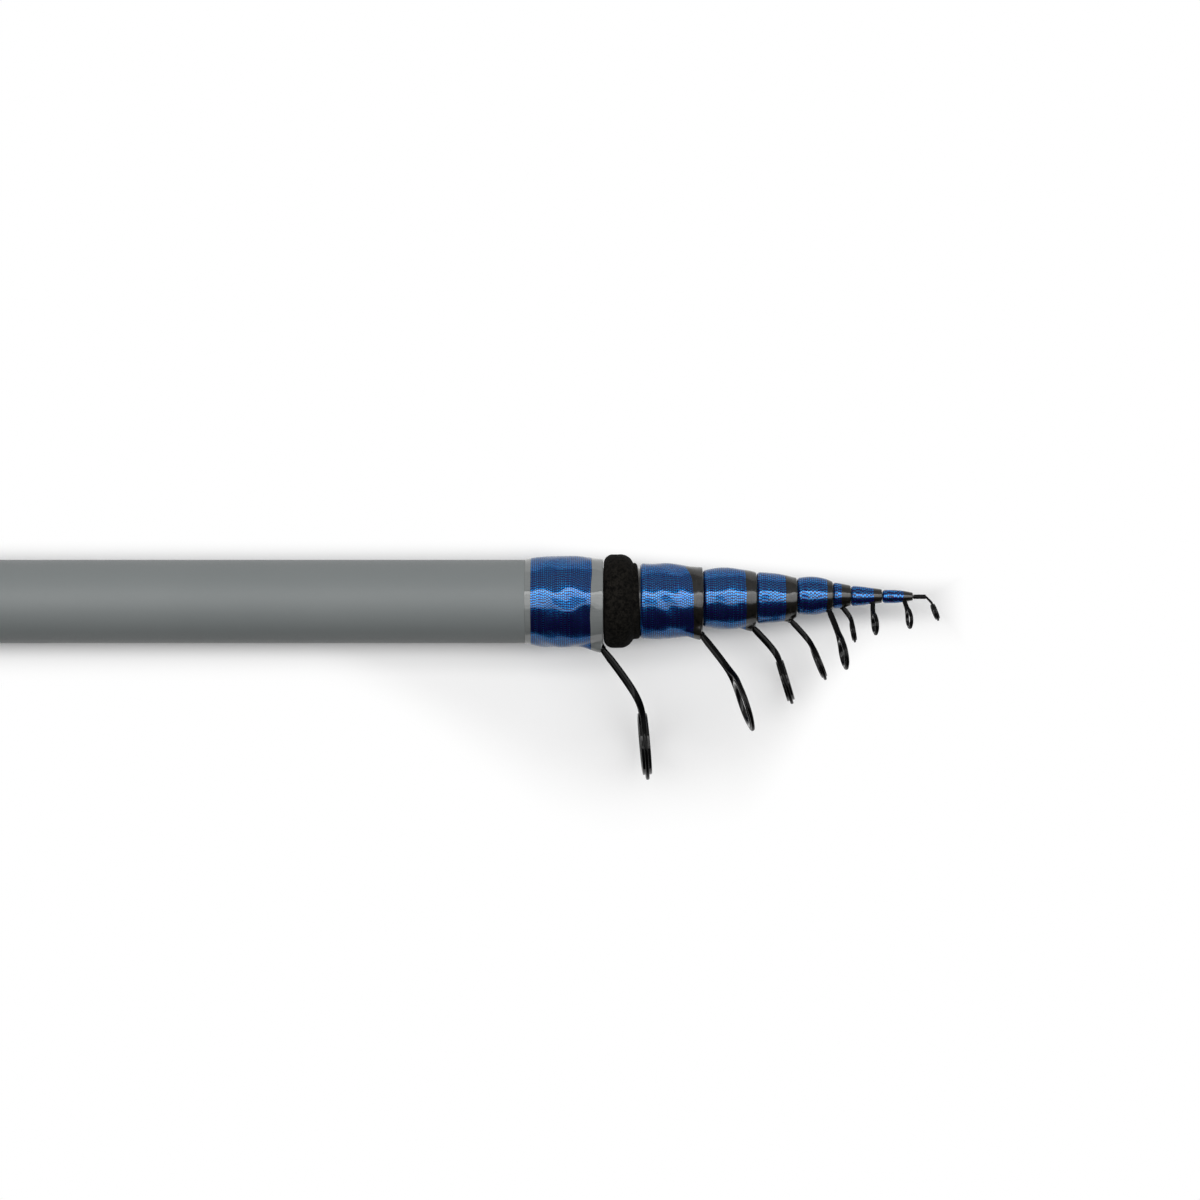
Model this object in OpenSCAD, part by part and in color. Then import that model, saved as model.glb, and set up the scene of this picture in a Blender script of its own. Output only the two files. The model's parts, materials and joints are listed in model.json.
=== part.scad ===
// Telescopic fishing rod, closed: a butt with a screw cap and a plate reel seat,
// seven hollow sections and a solid tip. Each section carries one line guide at its mouth,
// bound on with thread under clear resin. The rod's axis is X, the cap's end face is at X = 0
// and the tip points to +X. The butt's guide and the reel seat stand on the -Y side.
// Lists run from the butt or from section 2 towards the tip. Sizes are in millimetres.

/* [Blanks] */
// Diameter of the solid tip blank at its thin end
tip_d = 0.8; // [0.6:0.1:2]
// Wall of the butt and of sections 2 to 8
wall = [1.2, 1.1, 0.95, 0.8, 0.7, 0.6, 0.5, 0.35]; // [0.3:0.05:2]
// Taper of sections 2 to 8 and of the tip, on the diameter
taper = [2.6, 2.1, 1.5, 1.6, 0.8, 0.66, 0.4, 0.22]; // [0.1:0.02:4]
// Radial room of a section's base in the mouth that it slides through
slide_gap = 0.12; // [0.05:0.01:0.3]
// From the cap's end face to the butt's mouth
butt_front = 650; // [500:10:900]
// How far sections 2 to 8 stand out of the one before
show = [29.8, 16.1, 12.1, 10.8, 5.4, 9.4, 9.3]; // [4:0.1:40]
// Gap between a section's winding and the mouth that it stops on
stop_gap = 0.2; // [0.1:0.05:0.5]
// Where sections 2 to 8 and the tip lie in the play of the mouth around them: 0 is the middle
lie = [0.1, 0.7, 0.2, 0.7, 0, -0.2, -0.5, -0.3]; // [-0.7:0.1:0.7]

/* [Butt grip and cap] */
// Length of the thicker grip, from the cap's end face
grip_l = 400; // [380:5:450]
// Length of the slope from the grip to the slimmer front of the butt
grip_slope = 60; // [20:5:100]
// Length of the cap's knurled flange
flange_l = 8; // [5:0.5:15]
// How far the flange stays under the grip's surface
flange_drop = 0.1; // [0.05:0.05:1]
// Number of flutes round the flange
flutes = 24; // [12:1:36]
// Radius of each flute
flute_r = 0.9; // [0.5:0.1:1.4]
// Thickness of the cap's sealing washer
washer_t = 1; // [0.6:0.1:2]
// Length of the bush that is glued into the grip
bush_l = 14; // [10:1:20]
// Wall of the bush
bush_wall = 0.95; // [0.8:0.05:2]
// Room for section 2 to be drawn out through the bush
bush_room = 0.17; // [0.1:0.01:0.4]
// Radial clearance of the cap's plug in the bush
plug_gap = 0.05; // [0.02:0.01:0.1]
// How far the plug reaches in past the washer
plug_l = 15; // [12:1:24]
// Wall of the hollow plug
plug_wall = 3; // [1.5:0.5:5]
// Thickness of the rubber pad that the sections rest on
pad_t = 3; // [2:0.5:6]
// Length of the pad's spigot in the plug
spigot_l = 4; // [2:0.5:8]
// Gap between the pad and the sections' bases
pad_gap = 0.3; // [0.2:0.05:0.6]
// Glue line between pieces that are bonded
glue = 0.02; // [0.01:0.005:0.05]

/* [Windings and foam collar] */
// Length of the winding on the butt, resin margins included
butt_coat_l = 23.7; // [18:0.1:40]
// Length of the resin margin behind the butt's winding
margin_l = 2.1; // [1:0.1:5]
// Length of the resin band in front of each winding
band_l = [3.6, 2.8, 3.2, 3.4, 1.7, 2.8, 2.5, 2.8]; // [1:0.1:5]
// Thickness of each winding at its rear end
coat_rear = [0.1, 1.4, 0.8, 1.8, 1.3, 1.25, 1.3, 1]; // [0.1:0.05:3]
// Extra thickness half way along each winding
coat_hump = [1.2, 0.55, 1.15, 0.6, 0.9, 0.1, 0.1, 0.3]; // [0.05:0.05:3]
// Thickness of the resin at each mouth
coat_front = 0.2; // [0.1:0.05:0.5]
// Width of the foam collar's large ring
collar_l = 7.8; // [5:0.1:20]
// How far the large ring stands out from the butt's surface
collar_rise = 1.7; // [0.5:0.1:5]
// Rounding of the large ring's edges
collar_round = 3; // [1:0.1:3.5]
// Width of the collar's small step
step_l = 3.2; // [2:0.1:8]
// Thickness of the small step on section 2
step_t = 1.65; // [1:0.05:4]

/* [Guides] */
// Outer diameter of each guide's ring
ring_d = [21.7, 17.2, 14.8, 11.4, 10, 6.8, 6.6, 6]; // [4:0.1:40]
// Distance from the blank's surface to each ring's centre
ring_rise = [30.2, 23.6, 17.5, 13.6, 14.9, 7.9, 8, 6.8]; // [5:0.1:50]
// How far each ring's centre stands in front of its mouth
ring_ahead = [12.5, 11.9, 9, 6.7, 2.9, 0.9, -2.3, -1.3]; // [-4:0.1:20]
// Forward lean of each ring in degrees
ring_rake = [5, 19, 17, 22, 12, 10, 8, 9]; // [0:1:30]
// Twist of each ring about the line of its leg in degrees
ring_twist = [1, -3, 0, 0, 2, 0, 6, 8]; // [-10:1:10]
// Turn of each guide about the rod in degrees, as the closed rod lies
ring_roll = [0, -25, 10, 0, -25, 5, -30, -30]; // [-90:5:90]
// How far each leg starts behind its mouth
leg_back = [0.9, 0.8, 1.5, 2.1, 1.2, 2.5, 2.7, 2.6]; // [0.5:0.1:4]
// Thickness of each leg, seen from the side
leg_t = [1.7, 1.35, 1.4, 1.25, 1.2, 1.1, 1, 0.9]; // [0.5:0.05:3]
// Width of each of the two wires that make up a leg
wire_w = [1.2, 0.95, 0.95, 0.8, 0.65, 0.55, 0.45, 0.4]; // [0.3:0.05:2]
// Gap between the two wires of a leg
wire_gap = 0.35; // [0.2:0.05:0.6]
// Length of each foot under the winding
foot_l = [10, 9, 8, 6, 5, 3, 3, 3]; // [2:0.5:14]
// Thickness of each foot at its ground end
foot_t = 0.3; // [0.2:0.05:0.6]
// Share of the leg that bends into the ring's plane
leg_bend = [0.18, 0.18, 0.2, 0.2, 0.3, 0.3, 0.35, 0.4]; // [0.05:0.01:0.6]
// Width of the ring's rim round the insert
rim_w = [1.5, 1.25, 1.1, 0.9, 0.8, 0.6, 0.6, 0.55]; // [0.4:0.05:3]
// Thickness of the ring's rim
rim_t = [1.1, 1, 0.95, 0.85, 0.8, 0.65, 0.65, 0.6]; // [0.4:0.05:3]
// Radial thickness of each insert
insert_w = [1.7, 1.3, 1.15, 0.95, 0.85, 0.6, 0.6, 0.5]; // [0.3:0.05:4]
// Length of each insert through the ring
insert_l = [2.9, 1.9, 2.5, 1.9, 1.5, 1.5, 1.2, 1.1]; // [1:0.1:8]

/* [Tip ring] */
// Length of the tip ring's sleeve
sleeve_l = 3.7; // [3:0.1:10]
// Wall of the sleeve
sleeve_wall = 0.25; // [0.2:0.05:0.6]
// Outer diameter of the tip ring
tip_ring_d = 5.9; // [4:0.1:10]
// How far the tip ring's centre stands in front of the sleeve
tip_ring_ahead = 2.8; // [2:0.1:6]
// How far the tip ring's centre stands off the rod's axis
tip_ring_drop = 4.5; // [3.5:0.1:8]
// Forward lean of the tip ring in degrees
tip_rake = 21; // [0:1:40]
// Share of the arms that bends into the tip ring's plane
tip_bend = 0.18; // [0.05:0.01:0.4]
// Diameter of the two arms that carry the tip ring
arm_d = 0.6; // [0.4:0.05:1]
// Width of the tip ring's rim
tip_rim_w = 0.55; // [0.4:0.05:1]
// Thickness of the tip ring's rim
tip_rim_t = 0.6; // [0.4:0.05:1]
// Radial thickness of the tip ring's insert
tip_insert_w = 0.5; // [0.3:0.05:1]
// Length of the tip ring's insert
tip_insert_l = 1.4; // [1:0.1:3]

/* [Reel seat] */
// Rear end of the seat's deck
seat_x = 258; // [200:1:270]
// Length of the deck
deck_l = 110; // [100:1:120]
// Width of the deck's rail
deck_w = 17; // [14:0.5:20]
// Thickness of the rail
rail_t = 1.6; // [1.2:0.1:2.5]
// Width of the neck under the rail
neck_w = 13; // [9:0.5:13]
// Height of the deck above the grip
deck_rise = 3.4; // [3:0.1:6]
// Length of the foot at each end of the seat
seat_foot_l = 22; // [15:1:30]
// Width of each foot
seat_foot_w = 11; // [6:0.5:12]
// Thickness of each foot at the deck
seat_foot_t = 1.1; // [0.6:0.1:2]
// Thickness of each foot at its thin end
seat_foot_end = 0.5; // [0.3:0.1:0.6]
// Length of the winding over each foot
seat_coat_l = 18; // [8:1:21]
// Gap between that winding and the deck
seat_coat_gap = 1; // [0.5:0.5:3]
// Thickness of that winding on the side away from the foot
seat_coat_t = 0.7; // [0.4:0.1:2]
// Length of the fixed hood
hood_l = 16; // [12:1:22]
// Height of both hoods above the deck
hood_h = 6; // [5:0.5:9]
// Wall of both hoods
hood_wall = 1.3; // [1:0.1:2]
// Radius of the hoods' arched tops
hood_arch = 12; // [11:0.5:20]
// Length of the sliding hood
slider_l = 22; // [20:1:28]
// Depth of the sliding hood's pocket
slider_pocket = 14; // [8:1:14]
// Where the sliding hood's rear end is on the deck
slider_at = 22; // [19:1:30]
// Running clearance of the sliding hood on the rail
slider_gap = 0.15; // [0.05:0.05:0.3]
// Thickness of the sliding hood's lips under the rail
lip_t = 1.2; // [0.8:0.1:1.5]
// Diameter of the lever's pin
pin_d = 2; // [1.5:0.1:2.4]
// Length of the lever's pin, across both cheeks
pin_l = 12; // [10:0.5:13]
// Radial clearance of the lever on its pin
pin_gap = 0.05; // [0.02:0.01:0.1]
// Radius of the lever's eye
eye_r = 2.4; // [2:0.1:2.6]
// Width of the lever's eye and neck
eye_w = 7.4; // [5:0.2:9]
// Side clearance of the lever between the cheeks
cheek_gap = 0.2; // [0.1:0.05:0.4]
// Length of the lever from its pin
lever_l = 27; // [18:1:32]
// Thickness of the lever
lever_t = 1.8; // [1.2:0.1:2.5]
// Width of the lever's paddle
paddle_w = 11; // [8:0.5:14]
// Length of the lever's paddle
paddle_l = 17; // [10:1:20]
// How far the lever's tip curls up from the deck
lever_curl = 3; // [1:0.5:6]

/* [Hidden] */
LAST = 8;
MID = [1 : LAST - 1];
OVER = 1;
$fn = 96;

// Diameters, worked out from the tip towards the butt so that each blank fits in the next
function front_d(i) = i == LAST ? tip_d : bore_d(i) + 2 * wall[i];
function bore_d(i) = base_d(i + 1) + 2 * slide_gap;
function base_d(i) = front_d(i) + taper[i - 1];

butt_r = front_d(0) / 2;
bush_bore = base_d(1) + 2 * bush_room;
bush_d = bush_bore + 2 * bush_wall;
grip_r = bush_d / 2 + glue + wall[0];

// Places along the axis
tube_x = flange_l + washer_t;
plug_end = tube_x + plug_l;
base_x = plug_end + pad_t + pad_gap;
collar_x = butt_front + stop_gap;
collar_end = collar_x + collar_l + step_l;

function front_x(i) =
    i == 0 ? butt_front : i == LAST ? tip_x : front_x(i - 1) + show[i - 1];
sleeve_x = front_x(LAST - 1) + stop_gap;
tip_x = sleeve_x + sleeve_l;

function lerp(a, b, t) = a + (b - a) * t;

function blank_r(i, x) =
    i == 0 ? butt_r : lerp(base_d(i), front_d(i), (x - base_x) / (front_x(i) - base_x)) / 2;

// How far a section's own axis lies off the butt's axis
function play(i) = bore_d(i - 1) / 2 - blank_r(i, front_x(i - 1));
function off_axis(i) = i == 0 ? 0 : off_axis(i - 1) + lie[i - 1] * play(i);

// Outer radius of the winding and resin on a blank
function coat_x(i) =
    i == 0 ? butt_front - butt_coat_l : i == 1 ? collar_end : front_x(i - 1) + stop_gap;
function coat_at(i, x) = (x - coat_x(i)) / (front_x(i) - coat_x(i));
function coat_r(i, x) =
    blank_r(i, x) + lerp(coat_rear[i], coat_front, coat_at(i, x))
    + coat_hump[i] * 4 * coat_at(i, x) * (1 - coat_at(i, x));
function band_x(i) = front_x(i) - band_l[i];

// Guide places in the plane of the leg: along the axis, and out from it
function ring_down(rake) = [sin(rake), cos(rake)];
function leg_w(i) = 2 * wire_w[i] + wire_gap;
function leg_x(i) = front_x(i) - leg_back[i];
function leg_foot(i) = [leg_x(i), blank_r(i, leg_x(i)) + leg_t[i] / 2];
function ring_c(i) =
    [front_x(i) + ring_ahead[i], blank_r(i, front_x(i)) + ring_rise[i]];
function ring_top(i) = ring_c(i) - (ring_d[i] - rim_w[i]) / 2 * ring_down(ring_rake[i]);
function bend_at(a, b, rake, share) = b - share * norm(b - a) * ring_down(rake);
LEG_STEPS = 8;
function curve(a, k, b, from = 0, to = LEG_STEPS) = [
    for (n = [from : to]) let (t = n / LEG_STEPS)
        (1 - t) * (1 - t) * a + 2 * t * (1 - t) * k + t * t * b
];
function leg_curve(i, from = 0, to = LEG_STEPS) = let (a = leg_foot(i), b = ring_top(i))
    curve(a, bend_at(a, b, ring_rake[i], leg_bend[i]), b, from, to);

tip_c = [tip_x + tip_ring_ahead, tip_ring_drop];
tip_top_at = tip_c - (tip_ring_d - tip_rim_w) / 2 * ring_down(tip_rake);
sleeve_r = tip_d / 2 + glue + sleeve_wall;

// Reel seat places: along the axis, and out from it
deck_top = grip_r + deck_rise;
deck_end = seat_x + deck_l;
hood_x = deck_end - hood_l;
slider_x = seat_x + slider_at;
slider_w = deck_w + 2 * slider_gap + 2 * hood_wall;
pocket_x = slider_x + slider_l - slider_pocket;
pin_x = slider_x + eye_r + cheek_gap;
pin_z = deck_top + slider_gap + eye_r + cheek_gap;
cheek_x = pin_x + eye_r + cheek_gap;
lever_z = pin_z - eye_r + lever_t / 2;

// Sets a section's pieces on its own axis
module on_axis(i) {
    translate([0, off_axis(i), 0]) children();
}

// A profile of [radius, place along the axis] points turned about the rod's axis
module turned(profile) {
    rotate([0, 90, 0]) rotate_extrude() polygon(profile);
}

// A side outline of [place along the axis, height] points given a width across
module slab(outline, w) {
    rotate([90, 0, 0]) linear_extrude(w, center = true) polygon(outline);
}

// Turns what is drawn with its height along +Z onto the guide side
module on_side(roll = 0) {
    rotate([90 + roll, 0, 0]) children();
}

// The outline of a bent strip of even thickness along a path
function unit(v) = v / norm(v);
function heading(p, n) =
    unit(p[min(n + 1, len(p) - 1)] - p[n == len(p) - 1 ? n - 1 : n])
    + unit(p[max(n, 1)] - p[max(n, 1) - 1]);
function off_path(p, n, h) = let (d = unit(heading(p, n))) p[n] + h * [-d.y, d.x];
function strip(p, t) = concat(
    [for (n = [0 : len(p) - 1]) off_path(p, n, t / 2)],
    [for (n = [len(p) - 1 : -1 : 0]) off_path(p, n, -t / 2)]
);

// A ring that lies across the line: rim in the frame, insert in the rim
module ring_at(c, rake, twist = 0) {
    translate([c.x, 0, c.y]) rotate([0, 90 + rake, 0]) rotate([twist, 0, 0]) children();
}

module rim(d, w, t) {
    difference() {
        cylinder(h = t, d = d, center = true);
        cylinder(h = 2 * t, d = d - 2 * w, center = true);
    }
}

INSERT_STEP = 22.5;
INSERT_EDGE = 0.15;
module insert(d, w, l) {
    r = d / 2;
    edge = INSERT_EDGE * w;
    crown = w - 2 * edge;
    bore = [
        for (a = [-90 : INSERT_STEP : 90])
            [r - w + crown * (1 - cos(a)), l / 2 * sin(a)]
    ];
    back = [[r - edge, l / 2], [r, l / 2 - edge], [r, edge - l / 2], [r - edge, -l / 2]];
    rotate_extrude() polygon(concat(bore, back));
}

// Butt

module butt_tube() {
    slope = grip_l + grip_slope;
    bush_end = tube_x + bush_l + glue;
    seat_r = bush_d / 2 + glue;
    color("#8a9294") turned([
        [seat_r, tube_x], [grip_r, tube_x], [grip_r, grip_l], [butt_r, slope],
        [butt_r, butt_front], [bore_d(0) / 2, butt_front],
        [bush_bore / 2, bush_end], [seat_r, bush_end]
    ]);
}

module butt_bush() {
    color("#b9a25a") turned([
        [bush_bore / 2, tube_x], [bush_d / 2, tube_x],
        [bush_d / 2, tube_x + bush_l], [bush_bore / 2, tube_x + bush_l]
    ]);
}

module butt_cap() {
    flange_r = grip_r - flange_drop;
    plug_r = bush_bore / 2 - plug_gap;
    hollow = plug_r - plug_wall;
    color("#26282b") difference() {
        turned([
            [0, 0], [flange_r - flute_r, 0], [flange_r, flute_r], [flange_r, flange_l],
            [plug_r, flange_l], [plug_r, plug_end], [hollow, plug_end],
            [hollow, flange_l], [0, flange_l]
        ]);
        for (n = [1 : flutes])
            rotate([n * 360 / flutes, 0, 0]) translate([-OVER, 0, flange_r + flute_r / 2])
                rotate([0, 90, 0]) cylinder(h = flange_l - flute_r + OVER, r = flute_r, $fn = 24);
    }
}

module cap_washer() {
    color("#3a3a3c") turned([
        [bush_bore / 2, flange_l], [grip_r - 2 * flange_drop, flange_l],
        [grip_r - 2 * flange_drop, tube_x], [bush_bore / 2, tube_x]
    ]);
}

module cap_pad() {
    pad_r = bush_bore / 2 - 2 * plug_gap;
    spigot_r = bush_bore / 2 - plug_gap - plug_wall - glue;
    color("#1d1d1d") turned([
        [0, plug_end - spigot_l], [spigot_r, plug_end - spigot_l], [spigot_r, plug_end],
        [pad_r, plug_end], [pad_r, plug_end + pad_t], [0, plug_end + pad_t]
    ]);
}

// Sections

module section_tube(i) {
    w = wall[i];
    color("#24211f") turned([
        [base_d(i) / 2 - w, base_x], [base_d(i) / 2, base_x],
        [front_d(i) / 2, front_x(i)], [front_d(i) / 2 - w, front_x(i)]
    ]);
}

COAT_STEPS = 10;
module coat(i, from, to) {
    outer = [
        for (n = [0 : COAT_STEPS]) let (x = lerp(from, to, n / COAT_STEPS)) [coat_r(i, x), x]
    ];
    difference() {
        turned(concat(outer, [[blank_r(i, to) + glue, to], [blank_r(i, from) + glue, from]]));
        on_side(ring_roll[i]) leg_bar(i, leg_w(i) + 2 * glue);
    }
}

module winding(i) {
    start = i == 0 ? coat_x(0) + margin_l : coat_x(i);
    color("#2a5f9e") coat(i, start, band_x(i));
}

module resin(i) {
    color(i == 0 ? "#8a9294" : "#3b3835") {
        coat(i, band_x(i), front_x(i));
        if (i == 0) coat(0, coat_x(0), coat_x(0) + margin_l);
    }
}

module foam_collar() {
    r = butt_r + collar_rise;
    big = collar_x + collar_l;
    step_r = blank_r(1, big) + step_t;
    corner = [0 : 15 : 90];
    rear = [
        for (a = corner)
            [r - collar_round * (1 - sin(a)), collar_x + collar_round * (1 - cos(a))]
    ];
    front = [
        for (a = corner)
            [r - collar_round * (1 - cos(a)), big - collar_round * (1 - sin(a))]
    ];
    color("#1b1b1c") turned(concat(
        rear, front, [[step_r, big], [step_r, collar_end]],
        [[blank_r(1, collar_end) + glue, collar_end], [blank_r(1, collar_x) + glue, collar_x]]
    ));
}

// Guides

// The leg with its ground foot, before it is cut to sit on the blank
module leg_bar(i, w) {
    r = blank_r(i, leg_x(i));
    under = r - w * w / r / 4;
    heel = leg_x(i) - foot_l[i];
    toe = leg_x(i) + leg_t[i] / 2;
    slab(strip(leg_curve(i), leg_t[i]), w);
    slab([[heel, under], [toe, under], [toe, r + leg_t[i] / 2], [leg_x(i), r + leg_t[i]],
        [heel, r + foot_t]], w);
}

module leg(i) {
    heel = leg_x(i) - foot_l[i] - OVER;
    toe = leg_x(i) + leg_t[i] + OVER;
    difference() {
        leg_bar(i, leg_w(i));
        turned([
            [0, heel], [blank_r(i, heel) + glue, heel], [blank_r(i, toe) + glue, toe], [0, toe]
        ]);
        slab(strip(leg_curve(i, 1, LEG_STEPS - 1), 2 * leg_t[i]), wire_gap);
    }
}

module guide_frame(i) {
    color("#141415") on_side(ring_roll[i]) {
        leg(i);
        ring_at(ring_c(i), ring_rake[i], ring_twist[i]) rim(ring_d[i], rim_w[i], rim_t[i]);
    }
}

module guide_insert(i) {
    color("#060607") on_side(ring_roll[i]) ring_at(ring_c(i), ring_rake[i], ring_twist[i])
        insert(ring_d[i] - 2 * rim_w[i] - 2 * glue, insert_w[i], insert_l[i]);
}

// Tip

module tip_blank() {
    color("#24211f") turned([
        [0, base_x], [base_d(LAST) / 2, base_x], [tip_d / 2, sleeve_x], [tip_d / 2, tip_x], [0, tip_x]
    ]);
}

module tip_ring_frame() {
    side = sleeve_r + arm_d / 4;
    start = [sleeve_x + sleeve_l / 4, 0];
    bend = [tip_x, 0];
    path = concat([start], curve(bend, bend_at(bend, tip_top_at, tip_rake, tip_bend), tip_top_at));
    color("#141415") difference() {
        on_side() {
            rotate([0, 90, 0]) translate([0, 0, sleeve_x]) cylinder(h = sleeve_l, r = sleeve_r);
            for (s = [-side, side])
                translate([0, s, 0]) slab(strip(path, arm_d), arm_d);
            ring_at(tip_c, tip_rake) rim(tip_ring_d, tip_rim_w, tip_rim_t);
        }
        rotate([0, 90, 0]) translate([0, 0, sleeve_x - OVER])
            cylinder(h = sleeve_l + 2 * OVER, r = tip_d / 2 + glue);
    }
}

module tip_ring_insert() {
    color("#060607") on_side() ring_at(tip_c, tip_rake)
        insert(tip_ring_d - 2 * tip_rim_w - 2 * glue, tip_insert_w, tip_insert_l);
}

// Reel seat

// Both feet of the seat, thinning away from the deck, as they lie on the grip
module seat_feet(w) {
    intersection() {
        union() {
            turned([
                [grip_r + glue, seat_x - seat_foot_l], [grip_r + seat_foot_end, seat_x - seat_foot_l],
                [grip_r + seat_foot_t, seat_x], [grip_r + glue, seat_x]
            ]);
            turned([
                [grip_r + glue, deck_end], [grip_r + seat_foot_t, deck_end],
                [grip_r + seat_foot_end, deck_end + seat_foot_l], [grip_r + glue, deck_end + seat_foot_l]
            ]);
        }
        translate([seat_x - seat_foot_l, -w / 2, 0])
            cube([deck_l + 2 * seat_foot_l, w, 2 * grip_r]);
    }
}

module seat_plate() {
    rail_z = deck_top - rail_t;
    color("#2b2d30") on_side() {
        difference() {
            translate([seat_x, 0, 0]) rotate([90, 0, 90]) linear_extrude(deck_l) polygon([
                [-neck_w / 2, 0], [neck_w / 2, 0], [neck_w / 2, rail_z], [deck_w / 2, rail_z],
                [deck_w / 2, deck_top], [-deck_w / 2, deck_top], [-deck_w / 2, rail_z],
                [-neck_w / 2, rail_z]
            ]);
            rotate([0, 90, 0]) cylinder(h = deck_end + OVER, r = grip_r + glue);
        }
        seat_feet(seat_foot_w);
    }
}

// The windings stand off centre by half a foot, so that they lie thinner behind
module seat_winding(x) {
    shift = seat_foot_t / 2;
    r = grip_r + seat_coat_t + shift;
    edge = seat_coat_t / 2;
    color("#2a5f9e") on_side() difference() {
        translate([0, 0, shift]) turned([
            [0, x], [r - edge, x], [r, x + 2 * edge], [r, x + seat_coat_l - 2 * edge],
            [r - edge, x + seat_coat_l], [0, x + seat_coat_l]
        ]);
        rotate([0, 90, 0]) cylinder(h = deck_end + 2 * seat_foot_l, r = grip_r + glue);
        seat_feet(seat_foot_w + 2 * glue);
    }
}

// An upright outline with an arched top
module arch(w, h) {
    intersection() {
        translate([-w / 2, 0]) square([w, h]);
        translate([0, h - hood_arch]) circle(hood_arch);
    }
}

module along(x, l) {
    translate([x, 0, 0]) rotate([90, 0, 90]) linear_extrude(l) children();
}

module seat_fixed_hood() {
    color("#101011") on_side() translate([0, 0, deck_top]) difference() {
        along(hood_x, hood_l) arch(deck_w, hood_h);
        along(hood_x - OVER, hood_l - hood_wall + OVER)
            translate([0, -OVER]) arch(deck_w - 2 * hood_wall, hood_h - hood_wall + OVER);
    }
}

module seat_sliding_hood() {
    under = rail_t + 2 * slider_gap + lip_t;
    rail_w = deck_w + 2 * slider_gap;
    slot_w = neck_w + 2 * slider_gap;
    cheek_w = eye_w + 2 * cheek_gap;
    color("#101011") on_side() difference() {
        translate([0, 0, deck_top - rail_t - slider_gap - lip_t])
            along(slider_x, slider_l) arch(slider_w, under + hood_h);
        translate([slider_x - OVER, -rail_w / 2, deck_top - rail_t - slider_gap])
            cube([slider_l + 2 * OVER, rail_w, rail_t + 2 * slider_gap]);
        translate([slider_x - OVER, -slot_w / 2, 0])
            cube([slider_l + 2 * OVER, slot_w, deck_top - rail_t]);
        translate([0, 0, deck_top]) along(pocket_x, slider_pocket + OVER)
            arch(slider_w - 4 * hood_wall, hood_h - hood_wall);
        translate([slider_x - OVER, -cheek_w / 2, deck_top])
            cube([cheek_x - slider_x + OVER, cheek_w, 2 * hood_h]);
        translate([pin_x, 0, pin_z]) rotate([90, 0, 0])
            cylinder(h = pin_l + 2 * glue, d = pin_d + 2 * glue, center = true);
    }
}

module seat_lever() {
    paddle_x = pin_x - lever_l + paddle_l;
    tip = [pin_x - lever_l, lever_z + lever_curl];
    neck = [[pin_x, lever_z], [paddle_x, lever_z]];
    paddle = curve([paddle_x, lever_z], [paddle_x - paddle_l / 2, lever_z], tip);
    color("#1a1b1d") on_side() difference() {
        union() {
            slab(strip(neck, lever_t), eye_w);
            slab(strip(paddle, lever_t), paddle_w);
            translate([pin_x, 0, pin_z]) rotate([90, 0, 0]) cylinder(h = eye_w, r = eye_r, center = true);
        }
        translate([pin_x, 0, pin_z]) rotate([90, 0, 0])
            cylinder(h = 2 * eye_w, d = pin_d + 2 * pin_gap, center = true);
    }
}

module seat_lever_pin() {
    color("#c4c8cc") on_side() translate([pin_x, 0, pin_z]) rotate([90, 0, 0])
        cylinder(h = pin_l, d = pin_d, center = true);
}

butt_tube();
butt_bush();
winding(0);  // butt_winding
resin(0);  // butt_resin
butt_cap();
cap_washer();
cap_pad();
seat_plate();
seat_winding(seat_x - seat_coat_gap - seat_coat_l);  // seat_rear_winding
seat_winding(deck_end + seat_coat_gap);  // seat_front_winding
seat_fixed_hood();
seat_sliding_hood();
seat_lever();
seat_lever_pin();
on_axis(1) foam_collar();
for (i = MID) {
    on_axis(i) section_tube(i);
    on_axis(i) winding(i);
    on_axis(i) resin(i);
}
for (i = [0 : LAST - 1]) {
    on_axis(i) guide_frame(i);
    on_axis(i) guide_insert(i);
}
on_axis(LAST) tip_blank();
on_axis(LAST) tip_ring_frame();
on_axis(LAST) tip_ring_insert();
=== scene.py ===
import json
import math
from types import SimpleNamespace

import bmesh
import bpy
import numpy as np
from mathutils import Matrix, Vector, noise


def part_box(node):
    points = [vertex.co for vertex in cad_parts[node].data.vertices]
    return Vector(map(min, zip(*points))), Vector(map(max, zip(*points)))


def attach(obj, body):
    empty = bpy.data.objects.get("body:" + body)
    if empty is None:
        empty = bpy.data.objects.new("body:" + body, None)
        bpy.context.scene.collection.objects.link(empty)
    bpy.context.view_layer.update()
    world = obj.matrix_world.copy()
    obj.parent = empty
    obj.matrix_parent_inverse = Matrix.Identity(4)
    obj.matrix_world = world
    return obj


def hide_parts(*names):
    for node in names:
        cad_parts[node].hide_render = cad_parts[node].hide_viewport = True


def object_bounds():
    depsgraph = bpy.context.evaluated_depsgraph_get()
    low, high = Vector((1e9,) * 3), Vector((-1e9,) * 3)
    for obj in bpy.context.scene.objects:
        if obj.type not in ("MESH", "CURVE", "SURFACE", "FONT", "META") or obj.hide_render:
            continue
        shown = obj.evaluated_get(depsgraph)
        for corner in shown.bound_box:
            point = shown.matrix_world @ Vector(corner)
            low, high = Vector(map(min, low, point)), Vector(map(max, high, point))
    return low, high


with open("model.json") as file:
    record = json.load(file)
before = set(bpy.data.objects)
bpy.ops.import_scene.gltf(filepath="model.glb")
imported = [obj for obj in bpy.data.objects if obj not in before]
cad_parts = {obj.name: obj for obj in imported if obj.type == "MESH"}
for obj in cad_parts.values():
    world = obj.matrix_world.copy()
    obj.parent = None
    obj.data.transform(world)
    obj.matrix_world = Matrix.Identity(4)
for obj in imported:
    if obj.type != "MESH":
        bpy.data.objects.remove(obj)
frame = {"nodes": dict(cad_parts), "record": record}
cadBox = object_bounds()
nodes = frame["nodes"]
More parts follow.
